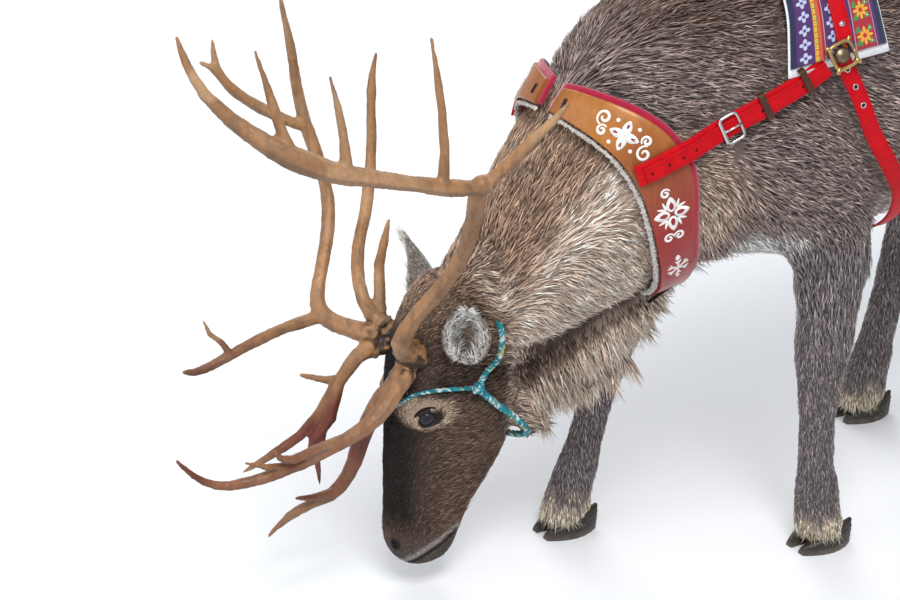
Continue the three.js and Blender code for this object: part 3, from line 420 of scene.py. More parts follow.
def head_share(points, low, high, shift=0.0):
    """A soft step onto the head, between two distances in front of the poll."""
    return smoothstep(low, high, before_poll(points) + shift) * (points[:, 0] < POLL_X)


def neck_share(points, part):
    """A soft step from the shoulders onto the neck, and none on the legs."""
    ahead = points[:, 0] * 0.878 + points[:, 2] * 0.479
    return (1 - smoothstep(68, 104, ahead)) * ~np.isin(part, LEGS)


def keel_depth(points, part=None):
    """How far a point lies below the throat line, where the mane grows."""
    line = table(KEEL, points[:, 0], 1)
    inside = smoothstep(-500, -470, points[:, 0]) * (1 - smoothstep(-120, -70, points[:, 0]))
    below = (line - points[:, 2]) * inside
    if part is not None:
        below[np.isin(part, LEGS)] = -80.0
    return below


PALETTE = {
    "face": ((0.038, 0.024, 0.017), (0.180, 0.120, 0.090)),
    "bridge": ((0.010, 0.008, 0.007), (0.034, 0.026, 0.022)),
    "cheek": ((0.058, 0.036, 0.025), (0.235, 0.150, 0.110)),
    "ring": ((0.34, 0.24, 0.165), (0.66, 0.50, 0.38)),
    "muzzle": ((0.055, 0.046, 0.040), (0.140, 0.118, 0.104)),
    "neck": ((0.50, 0.35, 0.265), (0.98, 0.79, 0.66)),
    "crest": ((0.060, 0.037, 0.026), (0.50, 0.335, 0.235)),
    "stripe": ((0.034, 0.023, 0.017), (0.19, 0.130, 0.096)),
    "mane": ((0.20, 0.130, 0.095), (0.90, 0.71, 0.57)),
    "back": ((0.020, 0.013, 0.010), (0.25, 0.165, 0.135)),
    "flank": ((0.034, 0.025, 0.022), (0.46, 0.355, 0.325)),
    "patch": ((0.21, 0.14, 0.105), (0.80, 0.60, 0.48)),
    "belly": ((0.58, 0.53, 0.50), (0.95, 0.92, 0.89)),
    "leg": ((0.042, 0.034, 0.032), (0.37, 0.315, 0.315)),
    "cream": ((0.46, 0.35, 0.23), (0.90, 0.78, 0.60)),
}


def away_from_line(x, y, rows):
    """Distance in a plane from a bent line."""
    best = np.full(len(x), 1e9)
    for (ax, ay), (bx, by) in zip(rows, rows[1:]):
        long = math.hypot(bx - ax, by - ay)
        ux, uy = (bx - ax) / long, (by - ay) / long
        t = np.clip((x - ax) * ux + (y - ay) * uy, 0, long)
        best = np.minimum(best, np.hypot(x - ax - ux * t, y - ay - uy * t))
    return best


def markings(points, part, normals):
    """Root and tip colours of the coat at each point, from its place on the animal."""
    n = len(points)
    x, y, z = points[:, 0], points[:, 1], points[:, 2]
    f, l, h = in_head(points)
    root = np.zeros((n, 3))
    tip = np.zeros((n, 3))
    mottle = value_noise(points, 38.0, 1) - 0.5
    fine = value_noise(points, 13.0, 2) - 0.5

    def put(name, weight):
        lay_over(root, PALETTE[name][0], weight)
        lay_over(tip, PALETTE[name][1], weight)

    on_head = head_share(points, -6, 30, mottle * 26)
    is_leg = np.isin(part, LEGS)
    on_neck = neck_share(points, part)
    put("flank", np.ones(n))
    put("back", smoothstep(880, 1010, z + mottle * 90))
    put("patch", smoothstep(0, 1, 1.25 - np.hypot((x + 248 + mottle * 40) / 95, (z - 700) / 135)) * 1.5
        * (x < -120))
    rise = 50 * smoothstep(20, 90, x)
    belly = (1 - smoothstep(600, 655, z - rise + mottle * 60 + np.abs(y) * 0.12)) * (x > -130)
    put("belly", belly * (1 - is_leg * 0.9))
    put("belly", np.exp(-((x + 98 + mottle * 30) / 52) ** 4) * (1 - smoothstep(628, 668, z + fine * 30)))
    put("belly", smoothstep(860, 960, x + mottle * 70) * smoothstep(640, 700, z))
    put("leg", is_leg * (1 - smoothstep(560, 700, z + mottle * 70)))
    side = np.where(y < 0, -1.0, 1.0)
    inner = smoothstep(0.15, 0.75, -normals[:, 1] * side) * is_leg
    put("belly", inner * 0.75 * smoothstep(330, 520, z))
    put("cream", (1 - smoothstep(44, 84, z + fine * 50)) * np.isin(part, LOWER_LEGS))
    put("neck", on_neck)
    high = z - table(NECK_AXIS, x, 2)
    aside = np.abs(y - table(NECK_AXIS, x, 1))
    put("crest", on_neck * smoothstep(50, 140, high + mottle * 70 - aside * 0.22))
    depth = keel_depth(points, part)
    put("mane", on_neck * smoothstep(-16, 14, depth + mottle * 14) * (1 - on_head))
    band = np.exp(-((depth - table(STRIPE, x, 1) + mottle * 18) / 27) ** 4)
    put("stripe", on_neck * band * 1.1 * (1 - on_head * 0.7))
    put("face", on_head)
    cheek = on_head * smoothstep(-58, -92, f + mottle * 30) * (1 - smoothstep(300, 400,
                                                                              h)) * smoothstep(70, 150, h)
    put("cheek", cheek)
    put("neck", on_head * smoothstep(-176, -205, f + mottle * 24) * smoothstep(200, 330, h) * 0.55)
    put("bridge", on_head * smoothstep(-74, -30, f - np.abs(l) * 0.25 + mottle * 20) * smoothstep(90, 150, h))
    put("crest", on_head * smoothstep(430, 520, h) * 0.85)
    near_eye = (np.abs(l) > 20) * on_head
    df = (f + 54.0) / 1.25
    dh = h - 341.0
    away = np.hypot(df * 0.92 + dh * 0.35, dh * 0.92 - df * 0.35)
    put("ring", smoothstep(15, 20, away) * (1 - smoothstep(27, 37, away + fine * 10)) * near_eye)
    put("bridge", (1 - smoothstep(14, 20, away)) * near_eye)
    put("bridge", np.exp(-(((f + 78) / 22) ** 2 + ((h - 388) / 20) ** 2)) * 0.8 * near_eye)
    put("muzzle", on_head * (1 - smoothstep(66, 112, h + mottle * 16)))
    lips = away_from_line(f, h, MOUTH)
    below = h - table(MOUTH[::-1], f, 1)
    on_muzzle = on_head * (h < 130) * (f > -118)
    put("belly", on_muzzle * 0.35 * np.exp(-((lips - 9) / 5) ** 2) * (below > 0))
    # Painted shade: the darkest colour along the slit of the mouth.
    put("bridge", on_muzzle * (1 - smoothstep(2.0, 4.5, lips)) * (np.abs(l) > 8))
    from_pit = np.stack([f, np.abs(l), h], axis=1) - NOSTRIL
    pit = np.linalg.norm(from_pit / [12, 11, 13], axis=1)
    # Painted shade: the darkest colour in the nostril pits.
    put("bridge", on_muzzle * (1 - smoothstep(0.8, 1.15, pit)) * 1.5)
    for ear in EAR_WAYS:
        high, wide, open_way = ear_place(points, ear)
        put("ring", (1 - smoothstep(26, 34, wide)) * (high > -8) * (high < EAR_TOP) * (open_way > -28))
    shade = 1 + mottle[:, None] * 0.22 + fine[:, None] * 0.16
    return root * shade, tip * shade


def lie(points, part, normals):
    """The way the coat lies at each point."""
    x, y, z = points[:, 0], points[:, 1], points[:, 2]
    f, l, _ = in_head(points)
    way = np.tile([1.0, 0.0, -0.28], (len(points), 1))

    def lean(to, weight):
        lay_over(way, to, weight)

    lean([0.95, 0, -0.05], smoothstep(930, 1040, z))
    chest = smoothstep(-60, -200, x) * (1 - smoothstep(690, 800, z))
    lean([0.55, 0, -0.85], chest)
    on_neck = neck_share(points, part)
    lean([0.86, 0, -0.50], on_neck)
    lean([0.76, 0, 0.65], on_neck * smoothstep(0, 90, z - table(NECK_AXIS, x, 2)))
    lean([0.38, 0, -0.93], on_neck * smoothstep(-26, 26,
                                                keel_depth(points, part)) * (1 - smoothstep(-235, -165, x)))
    swirl = value_noise(points, 120.0, 5)[:, None] - 0.5
    way += swirl * np.array([0.0, 0.0, 0.6])
    on_head = head_share(points, -6, 30)
    back = -HEAD_FORWARD
    lean(back * 0.85 + UP * 0.32, on_head)
    front = on_head * smoothstep(-80, -30, f)
    outward = HEAD_LEFT * np.sign(l)[:, None] * 0.35
    lean(UP * 0.85 + back * 0.3 + outward, front)
    lean([0.12, 0, -1.0], np.isin(part, LEGS) * (1 - smoothstep(560, 720, z)))
    fringe = 1 - smoothstep(40, 95, z)
    for foot, (cx, cy) in FEET.items():
        here = part == FLESH.index(f"leg_{foot}_lower")
        away = unit(np.stack([x - cx, y - cy, np.zeros(len(x))], axis=1))
        lean(away * 0.25 + [0, 0, -1.0], fringe * here * 0.55)
    lean([0.1, 0, -1.0], (part == FLESH.index("tail")) * 1.0)
    way = way - normals * (way * normals).sum(1, keepdims=True)
    return unit(way)


def coat_table(points, part):
    """Depth, tuft length, tuft width, tufts on each square metre and rise at each point."""
    coat = bpy.context.scene.reindeer_coat
    x, z = points[:, 0], points[:, 2]
    face = coat.face_length * 1000
    rows = np.tile([9.5, coat.body_length * 1000, 2.5, 44000, 0.19], (len(points), 1))
    f, _, h = in_head(points)
    is_leg = np.isin(part, LEGS)
    near_face = head_share(points, 0, 80)
    mane = smoothstep(-14, 30, keel_depth(points, part)) * (1 - smoothstep(-235, -165, x))
    for values, weight in (
            ([10.0, 33.0, 2.7, 40000, 0.26], is_leg * (1 - smoothstep(620, 800, z))),
            ([3.6, coat.leg_length * 1000, 1.8, 90000, 0.26], is_leg * (1 - smoothstep(330, 520, z))),
            ([3.0, 24.0, 2.4, 90000, 0.22], is_leg * (1 - smoothstep(40, 90, z))),
            ([14.0, 75.0, 4.0, 36000, 0.25], (part == FLESH.index("tail")) * 1.0),
            ([9.0, coat.neck_length * 1000, 2.3, 52000, 0.18], neck_share(points, part)),
            ([20.0, coat.mane_length * 1000, 3.0, 60000, 0.12], mane),
            ([7.0, 28.0, 2.6, 60000, 0.26], head_share(points, -30, 20)),
            ([4.0, face, 1.7, 115000, 0.24], near_face),
            ([3.0, face * 0.55, 1.4, 130000, 0.24], near_face * smoothstep(-90, -45, f)),
            ([1.6, 6.0, 1.2, 140000, 0.2], near_face * (1 - smoothstep(80, 130, h)))):
        lay_over(rows, values, weight)
    eye = np.minimum(*(np.linalg.norm(points - eye_point(way), axis=1) for way in (1, -1)))
    close = 1 - smoothstep(24, 46, eye)
    rows[:, 0] *= 1 - close * 0.9
    rows[:, 1] *= 1 - close * 0.5
    return rows


def face_centres(bm):
    """Middles of faces in millimetres."""
    return np.array([f.calc_center_median()[:] for f in bm.faces]) * 1000 - SHIFT


def divide(bm, chosen, **options):
    """Cuts the edges of the chosen faces in two, in the mesh's own order, and leaves only triangles."""
    bm.faces.ensure_lookup_table()
    bm.edges.index_update()
    edges = {e for f in np.nonzero(chosen)[0] for e in bm.faces[f].edges}
    bmesh.ops.subdivide_edges(bm, edges=sorted(edges, key=lambda e: e.index), cuts=1, **options)
    bmesh.ops.triangulate(bm, faces=bm.faces)


class Hide:
    """The animal's one skin, and what grows on it."""

    def build(self):
        """Skin from the flesh nodes: even, smooth and inside them by the coat's depth."""
        mesh = self.finer(remeshed(welded(FLESH, 0.5), SKIN_VOXEL))
        points, triangles = arrays(mesh)
        edges = edges_of(mesh)
        points = self.keeled(rounded(points, edges, 10), edges)
        points = rounded(self.on_face(points), edges, 1)
        self.part = nearest_part(points, FLESH)
        normals = point_normals(points, triangles)
        self.rows = spread_out(coat_table(points, self.part), edges, 3)
        points = points - normals * self.rows[:, :1]
        self.points = rounded(points, edges, 2)
        self.triangles = triangles
        self.normals = point_normals(self.points, triangles)
        self.way = unit(spread_out(lie(self.points, self.part, self.normals), edges, 6))
        self.root, self.tip = markings(self.points, self.part, self.normals)

    def finer(self, mesh):
        """The mesh in triangles, smaller on the head and smallest at the muzzle and the eyes."""
        bm = bmesh.new()
        bm.from_mesh(mesh)
        centres = face_centres(bm)
        divide(bm, (before_poll(centres) > -10) & (centres[:, 0] < POLL_X), use_grid_fill=True)
        centres = face_centres(bm)
        close = (before_poll(centres) > 60) & (centres[:, 2] < 128) & (centres[:, 0] < -480)
        for way in (1, -1):
            close |= np.linalg.norm(centres - eye_point(way), axis=1) < 42
        divide(bm, close)
        bm.to_mesh(mesh)
        bm.free()
        return mesh

    def keeled(self, points, edges):
        """The points with the throat pulled in to a smooth keel."""
        depth = keel_depth(points)
        y, z, half_width, half_height = (table(MANE, points[:, 0], k) for k in range(1, 5))
        away = np.hypot((points[:, 1] - y) / half_width, (points[:, 2] - z) / half_height)
        soft = np.isin(nearest_part(points, FLESH), [FLESH.index("neck"), FLESH.index("torso")])
        pull = (1 - 1 / np.maximum(away, 1.0)) * smoothstep(-5, 30, depth) * soft
        points[:, 1] += (y - points[:, 1]) * pull
        points[:, 2] += (z - points[:, 2]) * pull
        locks = (smoothstep(-20, 20, depth) * soft)[:, None]
        for _ in range(40):
            points = points + (spread_out(points, edges, 1, 1.0) - points) * locks * 0.7
        return points

    def on_face(self, points):
        """The points with those of the head set on a finer surface of it."""
        finer = remeshed(welded(["head", "neck"], 0.4), HEAD_VOXEL)
        fine_points, fine_triangles = arrays(finer)
        tree = tree_of(rounded(fine_points, edges_of(finer), 3), fine_triangles)
        share = head_share(points, 6, 40)
        for i in np.nonzero(share > 0)[0]:
            place = tree.find_nearest(points[i].tolist())[0]
            points[i] += (np.array(place) - points[i]) * share[i]
        return points


HIDE = Hide()


def paint(mesh, colours, name="coat"):
    """Colours kept on a mesh's points."""
    layer = mesh.color_attributes.new(name, "FLOAT_COLOR", "POINT")
    rgba = np.ones((len(colours), 4), np.float32)
    rgba[:, :3] = np.clip(colours, 0, 1)
    layer.data.foreach_set("color", rgba.ravel())


def harness_tree():
    """A tree of all that lies on the coat."""
    worn = ("collar", "trace", "girth", "saddle", "halter", "back", "fitting", "buckle")
    return node_tree([name for name in NODES if name.split("_")[0] in worn])


# Where each part lies on the unwrap: its corner, width and height. The legs lie in a row above.
TILES = {
    "torso": (0.0, 0.0, 0.5, 0.5), "neck": (0.5, 0.0, 0.5, 0.33), "head": (0.5, 0.33, 0.5, 0.34),
    "tail": (0.92, 0.70, 0.08, 0.28),
}


def unwrapped(points, part):
    """A place for each point on a flat unwrap: round each part and along it."""
    x, y, z = points[:, 0], points[:, 1], points[:, 2]
    uv = np.zeros((len(points), 2))
    f, l, h = in_head(points)
    for number, name in enumerate(FLESH):
        if name == "torso":
            around, along = np.arctan2(y, z - 800), (x + 320) / 1400
        elif name == "neck":
            around = np.arctan2(y - 10, (z - 620) * 0.75 - (x + 330) * 0.66)
            along = ((x + 475) * 0.75 + (z - 400) * 0.66) / 760
        elif name == "head":
            around, along = np.arctan2(l, f + 110), (h - 30) / 620
        elif name == "tail":
            around, along = np.arctan2(y, x - 975), (z - 800) / 260
        else:
            cx, cy = FEET[name[4:-6]]
            cx = np.interp(z, [34, 350, 655, 950], [cx, cx + 40] * 2)
            around, along = np.arctan2(y - cy, x - cx), z / 1020
        if name in TILES:
            tile = TILES[name]
        else:
            tile = (0.12 * (LEGS.index(number) // 2) + (0.5 if name.endswith("lower") else 0.0), 0.69, 0.115,
                    0.3)
        u = tile[0] + 0.004 + (around / (2 * math.pi) + 0.5) * (tile[2] - 0.008)
        v = tile[1] + 0.004 + np.clip(along, 0, 1) * (tile[3] - 0.008)
        here = part == number
        uv[here] = np.stack([u, v], axis=1)[here]
    return uv


def grow(name, roots, normals, way, length, width, rise, root_colour, tip_colour, uv, rng):
    """Tufts as flat tapered spikes: each from its root along the lie, in one mesh."""
    n = len(roots)
    turn = rng.normal(0, 0.15, n)
    across = unit(np.cross(normals, way))
    along = unit(way * np.cos(turn)[:, None] + across * np.sin(turn)[:, None])
    across = unit(np.cross(normals, along))
    lift = np.clip(rise * (1 + rng.normal(0, 0.35, n)), 0.02, 1.2)
    start = along * np.cos(lift)[:, None] + normals * np.sin(lift)[:, None]
    size = length[:, None]
    half = width[:, None] * 0.5
    sunk = roots - normals * np.minimum(1.2, width * 0.5)[:, None]
    bend = unit(along * 0.9 - normals * 0.10 - UP * 0.10 + across * rng.normal(0, 0.16, n)[:, None])
    middle = roots + start * size * 0.40
    tip = middle + (start * 0.3 + bend * 0.7) * size * 0.60
    rings = [sunk - along * half, middle + across * half, middle - across * half,
             middle + normals * half * 0.85, tip]
    count = len(TUFT_TONE)
    points = np.stack(rings, axis=1).reshape(-1, 3)
    triangles = (np.arange(n)[:, None, None] * count + TUFT_FACES[None]).reshape(-1, 3)
    first = points[triangles[:len(TUFT_FACES)]]
    points[:, 2] = np.maximum(points[:, 2], 0.6)
    inside = points[:count].mean(0)
    outward = np.cross(first[:, 1] - first[:, 0], first[:, 2] - first[:, 0])
    if ((first.mean(1) - inside) * outward).sum(1).sum() < 0:
        triangles = triangles[:, ::-1]
    mesh = triangle_mesh(name, points, triangles)
    level = np.exp(rng.normal(0.0, 0.42, n)).clip(0.35, 2.2)[:, None, None]
    tone = TUFT_TONE[None, :, None]
    blend = tone ** 1.2
    shade = root_colour[:, None] * (1 - blend) * (0.62 + 0.38 * tone) + tip_colour[:, None] * blend
    paint(mesh, (shade * level).reshape(-1, 3))
    layer = mesh.uv_layers.new(name="OFBake")
    patch = np.zeros((count, 2))
    patch[:, 0] = [0.0, 0.0015, -0.0015, 0.0, 0.0]
    patch[:, 1] = (TUFT_TONE - 0.5) * 0.003
    spots = np.clip(uv[:, None] + patch[None], 0.0005, 0.9995).reshape(-1, 2)
    loops = spots[triangles.ravel()]
    layer.data.foreach_set("uv", loops.astype(np.float32).ravel())
    return mesh


def sow(hide, weight, rng, share):
    """Roots of tufts over the skin: a face and a place in it for each."""
    p, t = hide.points, hide.triangles
    a, b, c = (p[t[:, k]] for k in range(3))
    area = np.linalg.norm(np.cross(b - a, c - a), axis=1) / 2e6
    density = hide.rows[:, 3][t].mean(1) * weight[t].mean(1)
    expected = area * density * share
    total = int(expected.sum())
    cumulative = np.cumsum(expected)
    picks = np.searchsorted(cumulative, (np.arange(total) + rng.random(total)) / total * cumulative[-1])
    picks = np.clip(picks, 0, len(t) - 1)
    r1, r2 = np.sqrt(rng.random(total)), rng.random(total)
    bary = np.stack([1 - r1, r1 * (1 - r2), r1 * r2], axis=1)
    return picks, bary


def blended(values, hide, picks, bary):
    """Values of the skin's points at places within its faces."""
    corners = values[hide.triangles[picks]]
    return (corners * bary[:, :, None]).sum(1) if values.ndim == 2 else (corners * bary).sum(1)


def pressed(roots, along, length, tree):
    """Which tufts lie under the harness or would run into it, as 0 or 1."""
    out = np.zeros(len(roots))
    up = unit(along[1])
    for share in (0.0, 0.5, 1.0):
        spots = roots + along[0] * length[:, None] * share
        for i in np.nonzero(out == 0)[0]:
            if tree.find_nearest(spots[i].tolist(), 40.0)[0] is None:
                continue
            origin = spots[i] - up[i] * 12
            if tree.ray_cast(Vector(origin), Vector(up[i]), 60.0)[0] is not None:
                out[i] = 1
    return out


def ear_way(tip, mouth):
    """Unit ways along an ear and out of its opening."""
    tip = unit(HEAD_FORWARD * tip[0] + HEAD_LEFT * tip[1] + UP * tip[2])
    mouth = HEAD_FORWARD * mouth[0] + HEAD_LEFT * mouth[1] + UP * mouth[2]
    return tip, unit(mouth - tip * (mouth @ tip))


def ear_place(points, ear):
    """How far points lie up an ear, away from its middle line, and towards its opening."""
    root, tip, mouth = ear
    high = (points - root) @ tip
    out = points - root - high[:, None] * tip
    return high, np.linalg.norm(out, axis=1), out @ mouth


# Each ear's root, its way up, and the way out of its opening.
EAR_TOP = 118
EAR_WAYS = (
    (head_point(-106, 92, 452), *ear_way((0.18, 0.47, 0.86), (0.5, 0.8, 0.05))),
    (head_point(-108, -84, 450), *ear_way((0.05, -0.56, 0.83), (0.85, -0.4, 0))),
)
COAT_PIECES = {
    "coat_torso": ("torso",),
    "coat_neck": ("neck",),
    "coat_head": ("head",),
    "coat_legs_upper": tuple(n for n in FLESH if n.endswith("upper")),
    "coat_legs_lower": tuple(n for n in FLESH if n.endswith("lower")),
    "coat_tail": ("tail",),
}


def coat_material(name, rough, bump):
    """Fur: the coat's own markings, with a fine broken grain."""
    mat, tree, shader = new_material(name, {"Roughness": rough, "Specular IOR Level": 0.25})
    colour = add_node(tree, "ShaderNodeAttribute", attribute_name="coat")
    place = add_node(tree, "ShaderNodeTexCoord")
    grain = add_node(tree, "ShaderNodeTexNoise", {"Scale": 420.0, "Detail": 4.0})
    spread = add_node(tree, "ShaderNodeMapRange", {"To Min": 0.72, "To Max": 1.25})
    product = add_node(tree, "ShaderNodeVectorMath", operation="SCALE")
    join(tree, (place, "Object", grain, "Vector"), (grain, "Fac", spread, "Value"),
         (colour, "Color", product, 0), (spread, "Result", product, "Scale"),
         (product, "Vector", shader, "Base Color"))
    if bump:
        add_bump(tree, shader, grain, "Fac", bump, 0.002)
    return mat


class REINDEER_OT_skin(bpy.types.Operator):
    """Make the one skin that lies under the coat"""

    bl_idname = "reindeer.skin"
    bl_label = "Skin"

    def execute(self, context):
        HIDE.build()
        mesh = triangle_mesh("skin", HIDE.points, HIDE.triangles)
        paint(mesh, HIDE.root * 0.6 + HIDE.tip * 0.25)
        piece("skin", mesh, coat_material("skin_fur", 0.8, 0.8), FLESH)
        return {"FINISHED"}


class REINDEER_OT_coat(bpy.types.Operator):
    """Grow the tufts of fur over the skin"""

    bl_idname = "reindeer.coat"
    bl_label = "Coat"

    def execute(self, context):
        coat = context.scene.reindeer_coat
        rng = np.random.default_rng(coat.seed)
        tree = harness_tree()
        fur = coat_material("fur", 0.62, 0.0)
        share = coat.share * 1.0
        for name, parts in COAT_PIECES.items():
            numbers = [FLESH.index(p) for p in parts]
            weight = np.isin(HIDE.part, numbers).astype(float)
            picks, bary = sow(HIDE, weight, rng, share)
            roots = blended(HIDE.points, HIDE, picks, bary)
            clear = roots[:, 2] > 6
            for eye in (eye_point(1), eye_point(-1)):
                clear &= np.linalg.norm(roots - eye, axis=1) > 22.5
            for ear in EAR_WAYS:
                high, wide, open_way = ear_place(roots, ear)
                clear &= ~((wide < 33) & (high > -6) & (high < EAR_TOP) & (open_way > -26))
            picks, bary, roots = picks[clear], bary[clear], roots[clear]
            normals = unit(blended(HIDE.normals, HIDE, picks, bary))
            way = unit(blended(HIDE.way, HIDE, picks, bary))
            rows = blended(HIDE.rows, HIDE, picks, bary)
            length = rows[:, 1] * rng.uniform(0.62, 1.22, len(roots))
            width = rows[:, 2] * rng.uniform(0.7, 1.25, len(roots))
            under = pressed(roots, (way, normals), length, tree)
            rise = rows[:, 4] * (1 - under * 0.88)
            length = length * (1 - under * 0.35)
            part = HIDE.part[HIDE.triangles[picks, 0]]
            mesh = grow(
                name, roots, normals, way, length, width, rise,
                blended(HIDE.root, HIDE, picks, bary), blended(HIDE.tip, HIDE, picks, bary),
                unwrapped(roots, part), rng)
            piece_split(name, mesh, fur, math.ceil(len(mesh.polygons) / MOST_FACES))
        return {"FINISHED"}


def piece_split(name, mesh, material, count):
    """One piece, or several of like size where a mesh has too many faces."""
    if count <= 1:
        piece(name, mesh, material)
        return
    points, triangles = arrays(mesh)
    colours = np.empty(len(points) * 4, np.float32)
    mesh.color_attributes["coat"].data.foreach_get("color", colours)
    colours = colours.reshape(-1, 4)[:, :3]
    uv = np.empty(len(triangles) * 6, np.float32)
    mesh.uv_layers["OFBake"].data.foreach_get("uv", uv)
    uv = uv.reshape(-1, 3, 2)
    per, faces = len(TUFT_TONE), len(TUFT_FACES)
    tufts = len(points) // per
    cuts = np.linspace(0, tufts, count + 1).astype(int)
    for k in range(count):
        a, b = cuts[k], cuts[k + 1]
        part = triangle_mesh(f"{name}_{k + 1}", points[a * per:b * per],
                             triangles[a * faces:b * faces] - a * per)
        paint(part, colours[a * per:b * per])
        layer = part.uv_layers.new(name="OFBake")
        layer.data.foreach_set("uv", uv[a * faces:b * faces].ravel())
        piece(f"{name}_{k + 1}", part, material)
    bpy.data.meshes.remove(mesh)


def smooth_rows(rows, steps):
    """The given rows of numbers, with eased rows between them."""
    rows = np.array(rows, float)
    row = np.vstack([rows[:1], rows, rows[-1:]])
    out = []
    for i in range(len(rows) - 1):
        a, b, c, d = row[i:i + 4]
        for t in np.arange(steps) / steps:
            h = t * t * (3 - 2 * t)
            out.append(b * (1 - h) + c * h + (c - a) / 2 * t * (1 - t) ** 2 - (d - b) / 2 * t * t * (1 - t))
    return np.array(out + [rows[-1]])


def cast(tree, inside, way):
    """Place and normal where a ray from outside meets a tree, or None."""
    way = unit(np.asarray(way, float))
    place, normal = tree.ray_cast(Vector(np.asarray(inside) + way * 900), Vector(-way), 1800)[:2]
    return None if place is None else (np.array(place), np.array(normal))


def evened(values, rounds):
    """Rows of numbers smoothed along their order, with the ends kept."""
    values = np.array(values, float)
    for _ in range(rounds):
        values[1:-1] = values[1:-1] * 0.5 + (values[:-2] + values[2:]) * 0.25
    return values


def closed_loft(name, loops, across=None):
    """A closed surface through loops of points, with a UV map of its lengths in metres."""
    n, k = loops.shape[:2]
    points = np.vstack([loops.reshape(-1, 3), loops[:1].mean(1), loops[-1:].mean(1)])
    row, spot = np.meshgrid(np.arange(n - 1), np.arange(k), indexing="ij")
    a, b = row * k + spot, row * k + (spot + 1) % k
    sides = np.stack([a, b, b + k, a, b + k, a + k], -1).reshape(-1, 3)
    j = np.arange(k)
    start = np.stack([np.full(k, n * k), (j + 1) % k, j], 1)
    end = np.stack([np.full(k, n * k + 1), (n - 1) * k + j, (n - 1) * k + (j + 1) % k], 1)
    triangles = facing_out(points, np.vstack([sides, start, end]), points.mean(0))
    mesh = triangle_mesh(name, points, triangles)
    middle = loops.mean(1)
    along = np.concatenate([[0], np.cumsum(np.linalg.norm(np.diff(middle, axis=0), axis=1))])
    if across is None:
        across = np.arange(k) / k * 2 * math.pi * np.linalg.norm(loops - middle[:, None], axis=2).mean()
    spots = np.stack(np.broadcast_arrays(along[:, None], np.asarray(across)[None]), -1).reshape(-1, 2)
    spots = np.vstack([spots, [along[0], np.mean(across)], [along[-1], np.mean(across)]]) / 1000
    layer = mesh.uv_layers.new(name="weave")
    layer.data.foreach_set("uv", spots[triangles.ravel()].astype(np.float32).ravel())
    return mesh


def slab(name, grid, normals, low, high, edge=1.0, crown=0.0):
    """A closed slab over a grid of places, between two offsets, with eased edges."""
    m = grid.shape[1]
    width = np.linalg.norm(np.diff(grid, axis=1), axis=2).sum(1).mean()
    ease = min(edge / width, 0.2)
    s = np.unique(np.concatenate([[0, ease * 0.3, ease], np.linspace(0, 1, m)[1:-1],
                                  [1 - ease, 1 - ease * 0.3, 1]]))
    k = s * (m - 1)
    i = np.clip(k.astype(int), 0, m - 2)
    t = (k - i)[None, :, None]
    place = grid[:, i] * (1 - t) + grid[:, i + 1] * t
    normal = unit(normals[:, i] * (1 - t) + normals[:, i + 1] * t)
    near = np.clip(np.minimum(s, 1 - s) / ease, 0, 1)
    drop = edge * (1 - np.sqrt(1 - (1 - near) ** 2))
    top = high - drop + crown * np.sin(np.pi * s)
    bottom = low + np.minimum(drop, (high - low) * 0.25)
    loops = np.concatenate(
        [place + normal * top[None, :, None], (place + normal * bottom[None, :, None])[:, ::-1]], axis=1)
    return closed_loft(name, loops, np.concatenate([s, s[::-1]]) * width)


def ribbon(spots, width, columns=5, rounds=5, shift=0.0):
    """A grid of places and normals straight across a path of places and normals."""
    places = evened([s[0] for s in spots], rounds)
    normals = unit(evened([s[1] for s in spots], rounds * 2))
    along = unit(np.gradient(places, axis=0))
    normals = unit(normals - along * (normals * along).sum(1, keepdims=True))
    across = np.cross(normals, along)
    offsets = np.linspace(-0.5, 0.5, columns) * np.ones((len(places), 1)) * np.reshape(width, (-1, 1)) + shift
    grid = places[:, None] + across[:, None] * offsets[..., None]
    return grid, np.repeat(normals[:, None], columns, axis=1)


def carried(path, first):
    """Two ways across a path at each of its places, carried along it without a twist."""
    along = unit(np.gradient(path, axis=0))
    side = np.zeros_like(path)
    side[0] = unit(np.cross(along[0], first))
    for i in range(1, len(path)):
        side[i] = unit(side[i - 1] - along[i] * (side[i - 1] @ along[i]))
    return side, np.cross(along, side)


def tube(name, path, radius, sides=8):
    """A closed round tube along a path."""
    side, other = carried(path, [0.31, 0.22, 1.0])
    angle = np.arange(sides) / sides * 2 * math.pi
    size = np.broadcast_to(radius, len(path))[:, None, None]
    ring = side[:, None] * np.cos(angle)[None, :, None] + other[:, None] * np.sin(angle)[None, :, None]
    return closed_loft(name, path[:, None] + ring * size)


def rounded_square(centre, a, b, power, steps):
    """A closed path round a square with soft corners, from its middle and its two half widths."""
    path = []
    for k in range(steps):
        angle = 2 * math.pi * k / steps
        c, s = math.cos(angle), math.sin(angle)
        path.append(centre + a * math.copysign(abs(c) ** power, c) + b * math.copysign(abs(s) ** power, s))
    return evenly([*path, path[0]], 2.2)[0]


def evenly(path, step):
    """Places at even steps along a path."""
    path = np.asarray(path, float)
    along = np.concatenate([[0], np.cumsum(np.linalg.norm(np.diff(path, axis=0), axis=1))])
    marks = np.linspace(0, along[-1], max(int(along[-1] / step), 2) + 1)
    return np.stack([np.interp(marks, along, path[:, k]) for k in range(3)], 1), marks


def merged(name, meshes):
    """One mesh from several."""
    bm = bmesh.new()
    for mesh in meshes:
        bm.from_mesh(mesh)
        bpy.data.meshes.remove(mesh)
    out = bpy.data.meshes.new(name)
    bm.to_mesh(out)
    bm.free()
    return out


def sharp(mesh, degrees=38):
    """The mesh with crisp edges where its faces meet at more than an angle."""
    mesh.set_sharp_from_angle(angle=math.radians(degrees))
    return mesh


